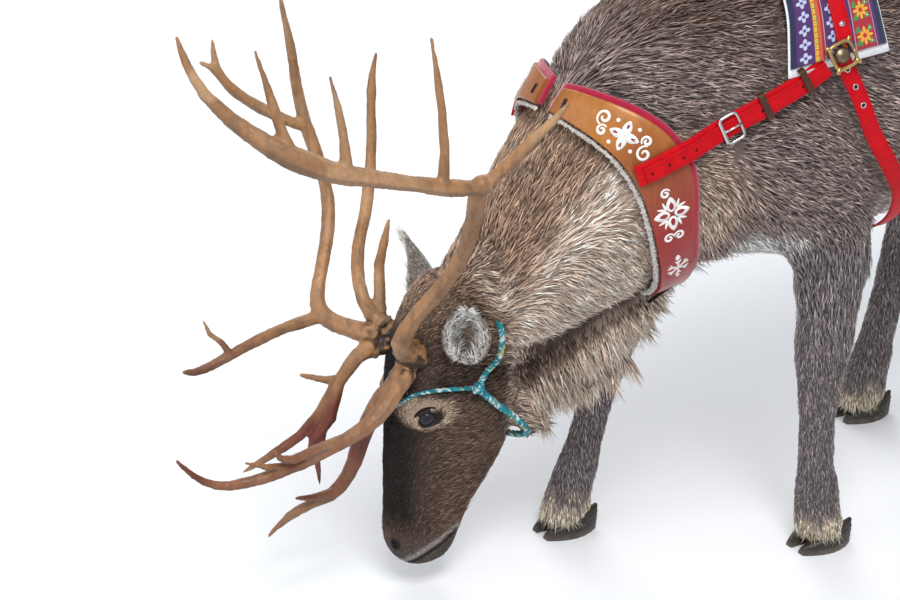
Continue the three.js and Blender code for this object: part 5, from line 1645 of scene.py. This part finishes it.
class REINDEER_OT_collar(bpy.types.Operator):
    """The collar: lacquered board with painted flowers, felt lining, fleece trim and foot bar"""

    bl_idname = "reindeer.collar"
    bl_label = "Collar"

    def execute(self, context):
        lacquer = finish("lacquer", (1, 1, 1), 0.34, scale=36.0, low=0.72, high=1.28, bump=0.12, depth=0.001,
                         stretch=(3.0, 3.0, 0.35), attribute="tint", coat=0.25)
        felt = finish("felt", colour_of("felt"), 0.95, scale=900.0, low=0.75, high=1.2, bump=0.7,
                      depth=0.0008,
                      sheen=0.5)
        wool = finish("wool", (0.62, 0.58, 0.54), 0.9, scale=700.0, low=0.55, high=1.15, bump=0.6,
                      depth=0.0006)
        paint_white = finish("white_paint", (0.86, 0.84, 0.80), 0.35, scale=500.0, low=0.86, high=1.08,
                             bump=0.2)
        paint_dark = finish("dark_paint", (0.30, 0.012, 0.02), 0.35, scale=500.0, low=0.8, high=1.1, bump=0.2)
        black = finish("foot_bar", (0.010, 0.010, 0.011), 0.4, scale=700.0, low=0.7, high=1.4, bump=0.3)
        top, foot = np.array(colour_of("board_top")), np.array(colour_of("board_foot"))
        curls, dots = curl_tree(), stud_tree(False)
        for name, side in (("left", 1), ("right", -1)):
            grid, normals = collar_grid(side, name)
            board = slab(f"collar_board_{name}", grid, normals, 11.7, BOARD_HIGH, 2.2, 1.6)
            points = arrays(board)[0]
            n = len(grid)
            loops = (len(points) - 2) // n
            row = np.concatenate([np.repeat(np.arange(n) / (n - 1), loops), [0, 1]])
            tint = mixed(top, foot, smoothstep(0.30, 0.72,
                                               row + (value_noise(points, 60.0, 31) - 0.5) * 0.12))
            # Painted highlight: a lighter orange band, broken by noise, across the upper part of the board.
            painted_highlight = np.exp(-((row - 0.16) / 0.16) ** 2) * value_noise(points, 42.0, 32)
            tint = mixed(tint, [0.62, 0.25, 0.04], painted_highlight * 0.6)
            paint(board, tint, "tint")
            piece(f"collar_board_{name}", sharp(board, 50), lacquer,
                  [f"collar_board_{name}"])
            wide, wide_normals = widened(grid, normals, 11.0, -3.0, 9.0)
            lining = slab(f"collar_felt_{name}", wide, wide_normals, 5.6, 12.6, 4.5)
            ob = piece(f"collar_felt_{name}", lining, felt, [f"collar_felt_{name}"])
            front = grid[:, -1] + unit(grid[:, -1] - grid[:, -2]) * 5.5 + normals[:, -1] * 9.5
            core_path, marks = evenly(evened(front, 3), 4.0)
            size = np.interp(marks / marks[-1], [0, 0.5, 1], [2.2, 2.6, 3.8])
            core = tube("fleece core", core_path, size, 10)
            wiry = by_nodes("curls", core.copy(), curls,
                            {"Density": 90000.0, "Size": 0.0019, "Seed": 3 + side, "Material": wool})
            piece(f"collar_fleece_{name}", merged("fleece", [core, wiry]), wool,
                  [f"collar_fleece_{name}"])
            tree = tree_of(*arrays(board))
            high = BOARD_HIGH + 1
            for mark, (row_at, across_at, shapes) in ORNAMENTS.items():
                for shade, label, lift, colour, slot in (
                        ("white", mark, high, paint_white, "fleece"),
                        ("dark", f"{mark}_hearts", high + 0.4, paint_dark, "collar_felt")):
                    chosen = [shape for kind, shape in shapes if kind == shade]
                    if chosen:
                        marks = painted(mark, chosen, grid, normals, row_at, across_at, lift, tree)
                        piece(f"paint_{label}_{name}", marks, colour)
            # Painted shadow: a short black bar lies on the board where the dark hollow of the slot near its top
            # shows.
            place, normal, down, forward = on_grid(grid, normals, 0.045, 0.55)
            slot_path = [place + normal * (BOARD_HIGH + 1.6) + forward * x for x in np.linspace(-8, 8, 9)]
            piece(f"collar_slot_{name}", tube("slot", np.array(slot_path), 3.0, 10), black)
            place, normal, down, forward = on_grid(grid, normals, 0.955, 0.5)
            turned = unit(forward + down * 0.10)
            reach = np.linspace(-34, 40, 13)
            bar = [(place + turned * x + normal * 1.0, normal) for x in reach]
            bar_grid, bar_normals = ribbon(bar, 12.5, 5, 0)
            bar_mesh = slab("bar", bar_grid, bar_normals, BOARD_HIGH + 1.6, BOARD_HIGH + 5.2, 1.2)
            piece(f"collar_bar_{name}", sharp(bar_mesh), black)
            holes = [place + turned * x + normal * (BOARD_HIGH + 6.2) for x in (-22, -8, 6, 20, 32)]
            pale = by_nodes("holes", wires([holes]), dots,
                            {"Radius": 0.0016, "Thickness": 0.0008, "Material": paint_white}, [normal] * 5)
            piece(f"collar_bar_holes_{name}", pale, paint_white)
        return {"FINISHED"}


def ornament_shapes():
    """The painted flowers and scrolls of the collar, in millimetres forward and down."""
    flower = []
    for k in range(4):
        at = 10 + 90 * k
        flower.append(("white", leaf((0, 0), at, 16, 9.5)))
        flower.append(("white", dot(polar(90 * k - 35, 16.5), 2.0)))
        for way in (-16, 16):
            flower.append(("dark", leaf(polar(at, 7), at + way * 0.7, 6, 1.3)))
    for end in (-1, 1):
        flower.append(("white", scroll((4 * end, 27 * end), 90 * end + 100, end, 8.5)))
        flower.append(("white", scroll((-8 * end, 22 * end), -90 * end + 60, -end, 5.8)))
    rosette = []
    for at in range(0, 360, 90):
        rosette.append(("white", leaf(polar(at, 2.5), at, 20, 12.5)))
        rosette.append(("dark", leaf(polar(at, 5.5), at, 10.5, 5.6)))
        for bend in (-1, 1):
            rosette.append(("white", leaf(polar(at + 45, 9), at + 45 + 26 * bend, 12, 3.0)))
    rosette.append(("dark", dot((0, 0), 2.4)))
    for bend in (-1, 1):
        rosette.append(("white", scroll((6.5 * bend, 32), 90 + 90 * bend, bend, 6.6)))
    rosette.append(("white", scroll((5, -28), 200, 1, 6.2)))
    flake = [("white", dot((0, 0), 1.6))]
    for at in range(30, 390, 60):
        flake.append(("white", leaf((0, 0), at, 14, 2.4)))
        for bend in (-34, 34):
            flake.append(("white", leaf(polar(at, 7.5), at + bend, 7, 1.8)))
    flake.append(("white", leaf((0, -14), -90, 9, 6.0)))
    flake.append(("white", leaf((0, 14), 90, 7, 4.5)))

    def sized(shapes, share):
        return [(shade, (left * share, right * share)) for shade, (left, right) in shapes]

    return {"flower": (0.235, 0.54, sized(flower, 1.5)), "rosette": (0.575, 0.56, sized(rosette, 1.32)),
            "flake": (0.80, 0.55, sized(flake, 1.4))}


ORNAMENTS = ornament_shapes()


class REINDEER_OT_straps(bpy.types.Operator):
    """Traces, girth and back strap, with stitches, eyelets, buckles and keepers"""

    bl_idname = "reindeer.straps"
    bl_label = "Straps"

    def execute(self, context):
        leather = finish("red_leather", colour_of("leather"), 0.46, scale=420.0, low=0.78, high=1.2, bump=0.4,
                         depth=0.0006, gloss=0.12)
        thread = finish("thread", (0.20, 0.004, 0.008), 0.7, scale=900.0, bump=0.3)
        brown = finish("brown_leather", (0.055, 0.018, 0.008), 0.42, scale=420.0, low=0.7, high=1.35,
                       bump=0.4,
                       coat=0.2)
        steel = finish("steel", (0.62, 0.62, 0.64), 0.22, metal=1.0, scale=500.0, low=0.75, high=1.1,
                       bump=0.15)
        brass = finish("brass", (0.55, 0.39, 0.15), 0.30, metal=1.0, scale=300.0, low=0.6, high=1.15,
                       bump=0.3)
        tin = finish("old_tin", (0.26, 0.19, 0.13), 0.34, metal=1.0, scale=220.0, low=0.55, high=1.2,
                     bump=0.3)
        # Painted shadow: near-black discs stand in for the dark depth of the punched holes.
        dark = finish("punched_hole", (0.02, 0.002, 0.002), 0.8, scale=600.0)
        stitches, rings, dots = stitch_tree(), stud_tree(True), stud_tree(False)
        coat = node_tree(["torso", "neck"] + [n for n in FLESH if n.endswith("upper")])

        def finished(name, ribbons, nodes, seam=4.0):
            """A strap of one or more layers, with a row of stitches near each edge of its top layer."""
            layers = [slab(name, grid, normals, low, high, 1.0) for grid, normals, low, high in ribbons]
            grid, normals, _, high = ribbons[-1]
            width = np.linalg.norm(grid[:, -1] - grid[:, 0], axis=1)[:, None]
            lines = [grid[:, 0] * (1 - t) + grid[:, -1] * t + normals[:, 0] * (high + 0.15)
                     for t in (seam / width, 1 - seam / width)]
            strap = merged(name, layers)
            piece(name, sharp(strap), leather, nodes)
            sewn = by_nodes("stitches", wires(lines), stitches,
                            {"Pitch": 0.0052, "Length": 0.0036, "Width": 0.0011, "Material": thread})
            piece(f"{name}_stitches", sewn, thread)

        def studs(name, spots, tree, radius, thickness, material):
            made = by_nodes("studs", wires([[s[0]] for s in spots]), tree,
                            {"Radius": radius / 1000, "Thickness": thickness / 1000, "Material": material},
                            [s[1] for s in spots])
            piece(name, made, material)

        def along_strap(grid, normals, share, lift):
            row = share * (len(grid) - 1)
            i = min(int(row), len(grid) - 2)
            middle = grid[:, grid.shape[1] // 2]
            place = middle[i] * (1 - row + i) + middle[i + 1] * (row - i)
            return place + normals[i, 0] * lift, normals[i, 0], unit(middle[i + 1] - middle[i])

        for name, side in (("left", 1), ("right", -1)):
            spots = []
            for along, height, lift in smooth_rows(TRACE, 6):
                place, normal = cast(coat, (along, 0, height), (0, -side, 0))
                spots.append((place + normal * (lift + 2), normal))
            grid, normals = ribbon(spots, 34.0, 5, 8)
            upper, upper_normals = ribbon(spots[4:], 25.0, 5, 8, -3.0 * side)
            finished(f"trace_{name}", [(grid, normals, 0.0, 3.2), (upper, upper_normals, 3.0, 6.4)],
                     [f"trace_{name}"])
            holes = [along_strap(upper, upper_normals, t, 6.5)[:2] for t in (0.045, 0.145, 0.235, 0.33, 0.66,
                                                                             0.83)]
            # Dark discs on the trace's holes: painted shadow of the holes.
            studs(f"trace_holes_{name}", holes, dots, 2.1, 0.9, dark)
            place, normal, way = along_strap(upper, upper_normals, 0.53, 9.0)
            across = np.cross(normal, way)
            frame_mesh = tube("buckle", rounded_square(place, way * 15, across * 20.5, 0.35, 48), 2.4, 10)
            pin = [place + way * x + normal * high for x, high in ((-14, 2.4), (0, 3.6), (16, 2.6))]
            tongue = tube("tongue", np.array(pin), 1.7, 8)
            bar = [place - way * 15 + across * y for y in (-18, -17.5, 17.5, 18)]
            roller = tube("roller", np.array(bar), 3.3, 12)
            buckle = merged("buckle", [frame_mesh, tongue, roller])
            piece(f"buckle_{name}", buckle, steel, [f"buckle_{name}"])
            loops = []
            for share in (0.70, 0.865):
                place, normal, way = along_strap(grid, normals, share, 0.0)
                across = np.cross(normal, way)
                arc = []
                for t in np.linspace(-1, 1, 21):
                    y = 20.5 * math.copysign(min(abs(t) * 1.18, 1), t)
                    z = 8.4 - 8.5 * smoothstep(0.82, 1.0, np.array(abs(t)))
                    arc.append((place + across * y + normal * z,
                                unit(normal + across * 1.2 * t * abs(t) ** 6)))
                band, band_normals = ribbon(arc, 11.0, 4, 1)
                loops.append(slab("keeper", band, band_normals, 0.0, 2.4, 0.9))
            piece(f"keepers_{name}", sharp(merged("keepers", loops)), brown)
            across, high = polar(FITTING_PLACE[1], 1)
            place, normal = cast(coat, (FITTING_PLACE[0], 0, CAST_HEIGHT), (0, -side * across, high))
            normal = unit(normal)
            upward = unit(UP - normal * (UP @ normal))
            ahead = np.cross(upward, normal)
            centre = place + normal * (PAD_TOP + 9.5)
            turn = math.radians(20 * side)
            a = ahead * math.cos(turn) + upward * math.sin(turn)
            b = upward * math.cos(turn) - ahead * math.sin(turn)
            parts = [tube("frame", rounded_square(centre, a * 19, b * 19, 0.45, 64), 3.0, 10)]
            for p, q in ((-1, -1), (-1, 1), (1, -1), (1, 1)):
                arm = np.array([centre + unit(a * p + b * q) * r for r in (20, 25, 29, 31.5)])
                parts.append(tube("arm", arm, np.array([4.2, 3.2, 3.8, 1.6]), 10))
            piece(f"fitting_{name}", merged("fitting", parts), brass, [f"fitting_{name}"])
            dome = []
            for r in np.linspace(0.02, 1, 12) * math.pi / 2:
                angle = np.linspace(0, 2 * math.pi, 32, endpoint=False)
                ring = a * np.cos(angle)[:, None] + b * np.sin(angle)[:, None]
                dome.append(centre + ring * 13 * math.sin(r) + normal * (7.5 * math.cos(r) - 4))
            dome.append(dome[-1] - normal * 3)
            piece(f"dome_{name}", closed_loft("dome", np.array(dome)), tin)

        def around(degrees, along, side):
            across, high = polar(degrees, 1)
            return cast(coat, (along, 0, CAST_HEIGHT), (0, -side * across, high))

        rows = smooth_rows(GIRTH, 6)
        left = [around(d, x, 1) for d, x in rows]
        right = [around(d, x, -1) for d, x in rows[:-1][::-1]]
        spots = [s for s in left + right if s]
        grid, normals = ribbon([(p + n * 7.5, n) for p, n in spots], 28.0, 5, 8)
        finished("girth", [(grid, normals, 0.0, 3.2)], ["girth"])
        eyelets = []
        for share in (0.035, 0.075, 0.115):
            for t in (share, 1 - share):
                eyelets.append(along_strap(grid, normals, t, 3.3)[:2])
        studs("girth_eyelets", eyelets, rings, 4.0, 1.1, steel)
        # Dark discs inside the eyelets: painted shadow of the holes.
        studs("girth_holes", eyelets, dots, 3.2, 0.6, dark)
        spots = [around(d, -4, 1) for d in np.linspace(37, 143, 49)]
        grid, normals = ribbon([(p + n * (PAD_TOP + 2.5), n) for p, n in spots], 26.0, 5, 6)
        finished("back_strap", [(grid, normals, 0.0, 3.2)], ["back_strap"])
        rivets = [along_strap(grid, normals, t, 3.4)[:2] for t in (0.055, 0.945)]
        studs("back_strap_rivets", rivets, dots, 4.4, 2.0, steel)
        return {"FINISHED"}


def motif_group():
    """A repeated flower in a woven band: its petals and its heart."""
    group, start, end = shader_group(
        "woven flower",
        (("Vector", "Vector", None), ("Centre", "Float", 0.5), ("Period", "Float", 0.024),
         ("Radius", "Float", 0.008), ("Petals", "Float", 4.0)),
        (("Petal", "Float"), ("Heart", "Float")))

    def math_node(kind, *terms):
        node = add_node(group, "ShaderNodeMath", operation=kind)
        for i, term in enumerate(terms):
            if isinstance(term, float):
                node.inputs[i].default_value = term
            else:
                group.links.new(term, node.inputs[i])
        return node.outputs[0]

    split = add_node(group, "ShaderNodeSeparateXYZ")
    join(group, (start, "Vector", split, 0))
    period, radius = start.outputs["Period"], start.outputs["Radius"]
    cell = math_node("FRACT", math_node("DIVIDE", split.outputs["X"], period))
    dx = math_node("MULTIPLY", math_node("SUBTRACT", cell, 0.5), period)
    dy = math_node("SUBTRACT", split.outputs["Y"], start.outputs["Centre"])
    far = math_node("SQRT", math_node("ADD", math_node("MULTIPLY", dx, dx), math_node("MULTIPLY", dy, dy)))
    turns = math_node("MULTIPLY", start.outputs["Petals"], 0.5)
    angle = math_node("MULTIPLY", math_node("ARCTAN2", dy, dx), turns)
    wave = math_node("ABSOLUTE", math_node("COSINE", angle))
    edge = math_node("MULTIPLY", math_node("ADD", math_node("MULTIPLY", wave, 0.65), 0.35), radius)
    group.links.new(math_node("LESS_THAN", far, edge), end.inputs["Petal"])
    group.links.new(math_node("LESS_THAN", far, math_node("MULTIPLY", radius, 0.28)), end.inputs["Heart"])
    return group


NAVY, PURPLE, ORANGE = (0.010, 0.014, 0.06), (0.075, 0.018, 0.13), (0.62, 0.10, 0.03)
YELLOW, RED, GREEN = (0.72, 0.36, 0.03), (0.40, 0.012, 0.03), (0.03, 0.20, 0.06)
CREAM, LILAC = (0.5, 0.42, 0.4), (0.45, 0.30, 0.45)
# Where each colour of the ribbons starts, as a share of the pad's width of 145 mm.
BAND_WIDTH = 0.145
BAND_STOPS = (
    (0.0, NAVY), (0.055, PURPLE), (0.235, YELLOW), (0.25, ORANGE), (0.275, GREEN), (0.285, ORANGE),
    (0.32, RED), (0.345, CREAM), (0.355, PURPLE), (0.53, YELLOW), (0.545, ORANGE), (0.575, NAVY),
    (0.60, PURPLE), (0.66, LILAC), (0.67, RED), (0.90, LILAC), (0.91, PURPLE), (0.945, NAVY),
)
# Rows of flowers in metres: middle, period and radius, then the petals, their colour and the heart's colour.
BAND_FLOWERS = (
    (0.021, 0.021, 0.0085, 4.0, (0.50, 0.55, 0.78), (0.08, 0.04, 0.2)),
    (0.0642, 0.021, 0.0085, 4.0, (0.50, 0.55, 0.78), (0.08, 0.04, 0.2)),
    (0.114, 0.038, 0.0135, 8.0, (0.85, 0.42, 0.03), (0.55, 0.03, 0.02)),
    (0.0385, 0.009, 0.0035, 2.0, (0.80, 0.55, 0.05), (0.05, 0.25, 0.05)),
    (0.104, 0.019, 0.0055, 3.0, (0.04, 0.28, 0.06), (0.04, 0.28, 0.06)),
    (0.124, 0.019, 0.0050, 3.0, (0.04, 0.28, 0.06), (0.80, 0.62, 0.6)),
)


def woven_material():
    """Patterned ribbon bands side by side, on the pad's own lengths."""
    mat, tree, shader = new_material("woven_bands", {"Roughness": 0.85, "Sheen Weight": 0.3})
    uv = add_node(tree, "ShaderNodeUVMap", uv_map="weave")
    split = add_node(tree, "ShaderNodeSeparateXYZ")
    width = add_node(tree, "ShaderNodeMath", {1: BAND_WIDTH}, operation="DIVIDE")
    bands = add_node(tree, "ShaderNodeValToRGB")
    join(tree, (uv, "UV", split, 0), (split, "Y", width, 0), (width, 0, bands, "Fac"))
    ramp = bands.color_ramp
    ramp.interpolation = "CONSTANT"
    for k, (at, shade) in enumerate(BAND_STOPS):
        stop = ramp.elements[k] if k < 2 else ramp.elements.new(at)
        stop.position = at
        stop.color = (*shade, 1)
    colour = bands.outputs["Color"]
    motif = motif_group()
    for *numbers, petal_shade, heart_shade in BAND_FLOWERS:
        flower = add_node(tree, "ShaderNodeGroup", node_tree=motif)
        for label, value in zip(("Centre", "Period", "Radius", "Petals"), numbers):
            flower.inputs[label].default_value = value
        join(tree, (uv, "UV", flower, "Vector"))
        for output, shade in (("Petal", petal_shade), ("Heart", heart_shade)):
            mix = add_node(tree, "ShaderNodeMix", {7: (*shade, 1)}, data_type="RGBA")
            join(tree, (flower, output, mix, 0))
            tree.links.new(colour, mix.inputs[6])
            colour = mix.outputs[2]
    weave = add_node(tree, "ShaderNodeTexChecker", {
        "Scale": 900.0, "Color1": (1, 1, 1, 1), "Color2": (0.72, 0.72, 0.72, 1)})
    product = add_node(tree, "ShaderNodeVectorMath", operation="MULTIPLY")
    tree.links.new(colour, product.inputs[0])
    join(tree, (uv, "UV", weave, "Vector"), (weave, "Color", product, 1),
         (product, "Vector", shader, "Base Color"))
    add_bump(tree, shader, weave, "Fac", 0.4, 0.0005)
    return mat


class REINDEER_OT_pad(bpy.types.Operator):
    """The saddle pad: woven bands over a white lining"""

    bl_idname = "reindeer.pad"
    bl_label = "Saddle pad"

    def execute(self, context):
        coat = node_tree(["torso"])
        half = smooth_rows(PAD, 8)
        rows = [*half.tolist(), *[[180 - d, a, b] for d, a, b in half[:-1][::-1].tolist()]]
        columns = 15
        grid, normals = np.zeros((len(rows), columns, 3)), np.zeros((len(rows), columns, 3))
        for r, (degrees, front, rear) in enumerate(rows):
            across, high = polar(degrees, 1)
            way = (0, -across, high)
            for c, t in enumerate(np.linspace(0, 1, columns)):
                grid[r, c], normals[r, c] = cast(coat, (front + (rear - front) * t, 0, CAST_HEIGHT), way)
        grid = evened(grid, 8)
        for _ in range(8):
            normals[1:-1] = unit(normals[1:-1] * 0.5 + (normals[:-2] + normals[2:]) * 0.25)
        top = slab("saddle_pad", grid, normals, 7.0, PAD_TOP - 2.2, 2.4, 1.6)
        ob = piece("saddle_pad", top, woven_material(), ["saddle_pad"])
        lining = finish("lining", (0.74, 0.75, 0.78), 0.9, scale=800.0, low=0.8, high=1.08, bump=0.5,
                        sheen=0.3)
        ends = unit(grid[0] - grid[1]) * 13, unit(grid[-1] - grid[-2]) * 13
        longer = np.concatenate([(grid[0] + ends[0])[None], grid, (grid[-1] + ends[1])[None]])
        longer_normals = np.concatenate([normals[:1], normals, normals[-1:]])
        under, under_normals = widened(longer, longer_normals, 3.0, 3.0)
        under_mesh = slab("saddle_lining", under, under_normals, 3.6, 6.8, 1.4)
        ob = piece("saddle_lining", under_mesh, lining)
        return {"FINISHED"}


# The brow, throat and crown parts of the halter: forward and height on the head, and the way out to the coat.
ROPE_ARCS = (
    ((-130, 388, 0, 1, 0), (-95, 390, 0.15, 1, 0), (-70, 378, 0.7, 1, 0), (-70, 352, 1, 0.55, 0),
     (-70, 338, 1, 0, 0),
     (-70, 352, 1, -0.55, 0), (-70, 378, 0.7, -1, 0), (-95, 390, 0.15, -1, 0), (-130, 388, 0, -1, 0)),
    ((-130, 388, 0, 1, 0), (-164, 348, 0, 1, 0), (-190, 300, -0.35, 1, 0), (-170, 262, -1, 0.8, 0),
     (-170, 250, -1, 0, 0),
     (-170, 262, -1, -0.8, 0), (-190, 300, -0.35, -1, 0), (-164, 348, 0, -1, 0), (-130, 388, 0, -1, 0)),
    ((-130, 388, 0, 1, 0), (-148, 420, 0, 1, 0), (-156, 456, 0, 1, 0), (-150, 490, 0, 1, 0.1),
     (-136, 512, 0, 0.9, 0.4), (-126, 525, 0, 0.45, 0.8), (-124, 528, 0, 0, 1), (-126, 525, 0, -0.45, 0.8),
     (-136, 512, 0, -0.9, 0.4), (-150, 490, 0, -1, 0.1), (-156, 456, 0, -1, 0), (-148, 420, 0, -1, 0),
     (-130, 388, 0, -1, 0)),
)


# For each arc the distance of its strands from its middle, and how it sinks in the hair: the height over the
# skin, what is added to that, and between which places on the head, measured forward (True) or up (False).
ROPE_SIZES = (3.3, 5.6, 5.0)
ROPE_LIFTS = ((4.6, -6, -108, -88, True), (-2, 5, 262, 300, False), (4.2, -6, 400, 440, False))
ROPE_PALE, ROPE_GOLD = (0.55, 0.66, 0.66), (0.60, 0.48, 0.10)


class REINDEER_OT_halter(bpy.types.Operator):
    """The halter of twisted cord, with a knot on each cheek"""

    bl_idname = "reindeer.halter"
    bl_label = "Halter"

    def execute(self, context):
        flesh = node_tree(["head"])
        base = np.array(colour_of("rope"))
        cord = finish("cord", (1, 1, 1), 0.7, scale=900.0, low=0.7, high=1.3, bump=0.5, depth=0.0006,
                      attribute="tint")
        meshes = []
        for rows, size, (high, sink, low_end, high_end, along_head) in zip(ROPE_ARCS, ROPE_SIZES, ROPE_LIFTS):
            path = []
            for f, h, a, b, c in smooth_rows(rows, 5):
                way = unit(HEAD_FORWARD * a + HEAD_LEFT * b + UP * c)
                found = cast(flesh, head_point(f, 0.0, h), way)
                lift = high + sink * float(smoothstep(low_end, high_end, f if along_head else h))
                if found:
                    path.append(found[0] + way * lift)
            path, marks = evenly(evened(path, 5), 2.0)
            side, other = carried(path, UP)
            for strand in range(3):
                turn = marks / 26.0 * 2 * math.pi + strand * 2 * math.pi / 3
                centre = path + (side * np.cos(turn)[:, None] + other * np.sin(turn)[:, None]) * size * 0.5
                mesh = tube("strand", centre, size * 0.58, 8)
                p = arrays(mesh)[0]
                tint = base * (0.7 + 0.6 * value_noise(p, 9.0, 61)[:, None])
                tint = mixed(tint, ROPE_PALE, smoothstep(0.62, 0.68, value_noise(p, 6.0, 41 + strand)))
                tint = mixed(tint, ROPE_GOLD, smoothstep(0.74, 0.78, value_noise(p, 5.0, 51 + strand)))
                paint(mesh, tint, "tint")
                meshes.append(mesh)
        for side in (1, -1):
            place = cast(flesh, head_point(-130, 0.0, 388), HEAD_LEFT * side)[0] + HEAD_LEFT * side * 7
            for k, tilt in enumerate((0.2, 1.3, 2.5)):
                t = np.linspace(0, 2 * math.pi, 27)
                a = HEAD_FORWARD * math.cos(tilt) + UP * math.sin(tilt)
                b = HEAD_LEFT * side * 0.9 + UP * 0.3 * (k - 1)
                ring = place + a * np.cos(t)[:, None] * 8.0 + unit(b) * np.sin(t)[:, None] * 5.0
                mesh = tube("knot", ring, 3.6, 8)
                fleck = smoothstep(0.60, 0.66, value_noise(arrays(mesh)[0], 6.0, 71 + k))
                paint(mesh, mixed(base, ROPE_PALE, fleck), "tint")
                meshes.append(mesh)
        piece("halter", merged("halter", meshes), cord, ["halter_rope"])
        return {"FINISHED"}


class REINDEER_OT_stage(bpy.types.Operator):
    """Set the camera, the floor and the lights"""

    bl_idname = "reindeer.stage"
    bl_label = "Stage"

    def execute(self, context):
        scene = context.scene
        data = bpy.data.cameras.new("camera")
        data.lens = 97.6
        data.sensor_width = 36.0
        data.clip_end = 60
        camera = bpy.data.objects.new("camera", data)
        scene.collection.objects.link(camera)
        target = Vector((-426, 225, 450))
        elevation, yaw = math.radians(26), math.radians(33)
        look = Vector((math.sin(yaw) * math.cos(elevation), math.cos(yaw) * math.cos(elevation),
                       -math.sin(elevation)))
        shift = Vector(SHIFT)
        camera.location = (target - look * 4000 + shift) / 1000
        camera.rotation_euler = look.to_track_quat("-Z", "Y").to_euler()
        scene.camera = camera
        floor_mesh = bpy.data.meshes.new("floor")
        floor_mesh.from_pydata([(-30, -30, 0), (30, -30, 0), (30, 30, 0), (-30, 30, 0)], [], [(0, 1, 2, 3)])
        floor = bpy.data.objects.new("floor", floor_mesh)
        scene.collection.objects.link(floor)
        mat = new_material("floor", {"Base Color": (0.86, 0.87, 0.89, 1), "Roughness": 0.9})[0]
        floor_mesh.materials.append(mat)
        world = bpy.data.worlds.new("studio")
        world.use_nodes = True
        world.node_tree.nodes["Background"].inputs["Color"].default_value = (0.93, 0.96, 1.0, 1)
        world.node_tree.nodes["Background"].inputs["Strength"].default_value = 0.62
        scene.world = world
        scene.view_settings.view_transform = "Standard"
        for name, place, size, power in (
            ("key", (-1.6, -2.4, 4.6), 2.2, 170), ("fill", (-4.5, 0.6, 2.4), 3.0,
                                                   45), ("rim", (1.5, 3.5, 3.6), 2.5, 80),
        ):
            light = bpy.data.lights.new(name, "AREA")
            light.energy = power
            light.size = size
            ob = bpy.data.objects.new(name, light)
            scene.collection.objects.link(ob)
            ob.location = place
            ob.rotation_euler = (Vector((-0.3, 0, 0.5)) - Vector(place)).to_track_quat("-Z", "Y").to_euler()
        return {"FINISHED"}


OPERATORS = (
    REINDEER_OT_stage,
    REINDEER_OT_skin,
    REINDEER_OT_coat,
    REINDEER_OT_antlers,
    REINDEER_OT_eyes,
    REINDEER_OT_ears,
    REINDEER_OT_hooves,
    REINDEER_OT_collar,
    REINDEER_OT_straps,
    REINDEER_OT_pad,
    REINDEER_OT_halter,
)


class REINDEER_PT_panel(bpy.types.Panel):
    """Sizes and colours of the reindeer, and a button for each group of pieces"""

    bl_idname = "REINDEER_PT_panel"
    bl_label = "Reindeer"
    bl_space_type = "VIEW_3D"
    bl_region_type = "UI"
    bl_category = "Reindeer"

    def draw(self, context):
        layout = self.layout
        for group in (context.scene.reindeer_coat, context.scene.reindeer_colours):
            box = layout.box()
            for key in group.__annotations__:
                box.prop(group, key)
        for operator in OPERATORS:
            layout.operator(operator.bl_idname)


CLASSES = (ReindeerCoat, ReindeerColours, *OPERATORS, REINDEER_PT_panel)


def register():
    for cls in CLASSES:
        bpy.utils.register_class(cls)
    bpy.types.Scene.reindeer_coat = PointerProperty(type=ReindeerCoat)
    bpy.types.Scene.reindeer_colours = PointerProperty(type=ReindeerColours)


def unregister():
    del bpy.types.Scene.reindeer_colours
    del bpy.types.Scene.reindeer_coat
    for cls in reversed(CLASSES):
        bpy.utils.unregister_class(cls)


def main():
    register()
    for operator in OPERATORS:
        group, name = operator.bl_idname.split(".")
        getattr(getattr(bpy.ops, group), name)()


if __name__ == "__main__":
    main()
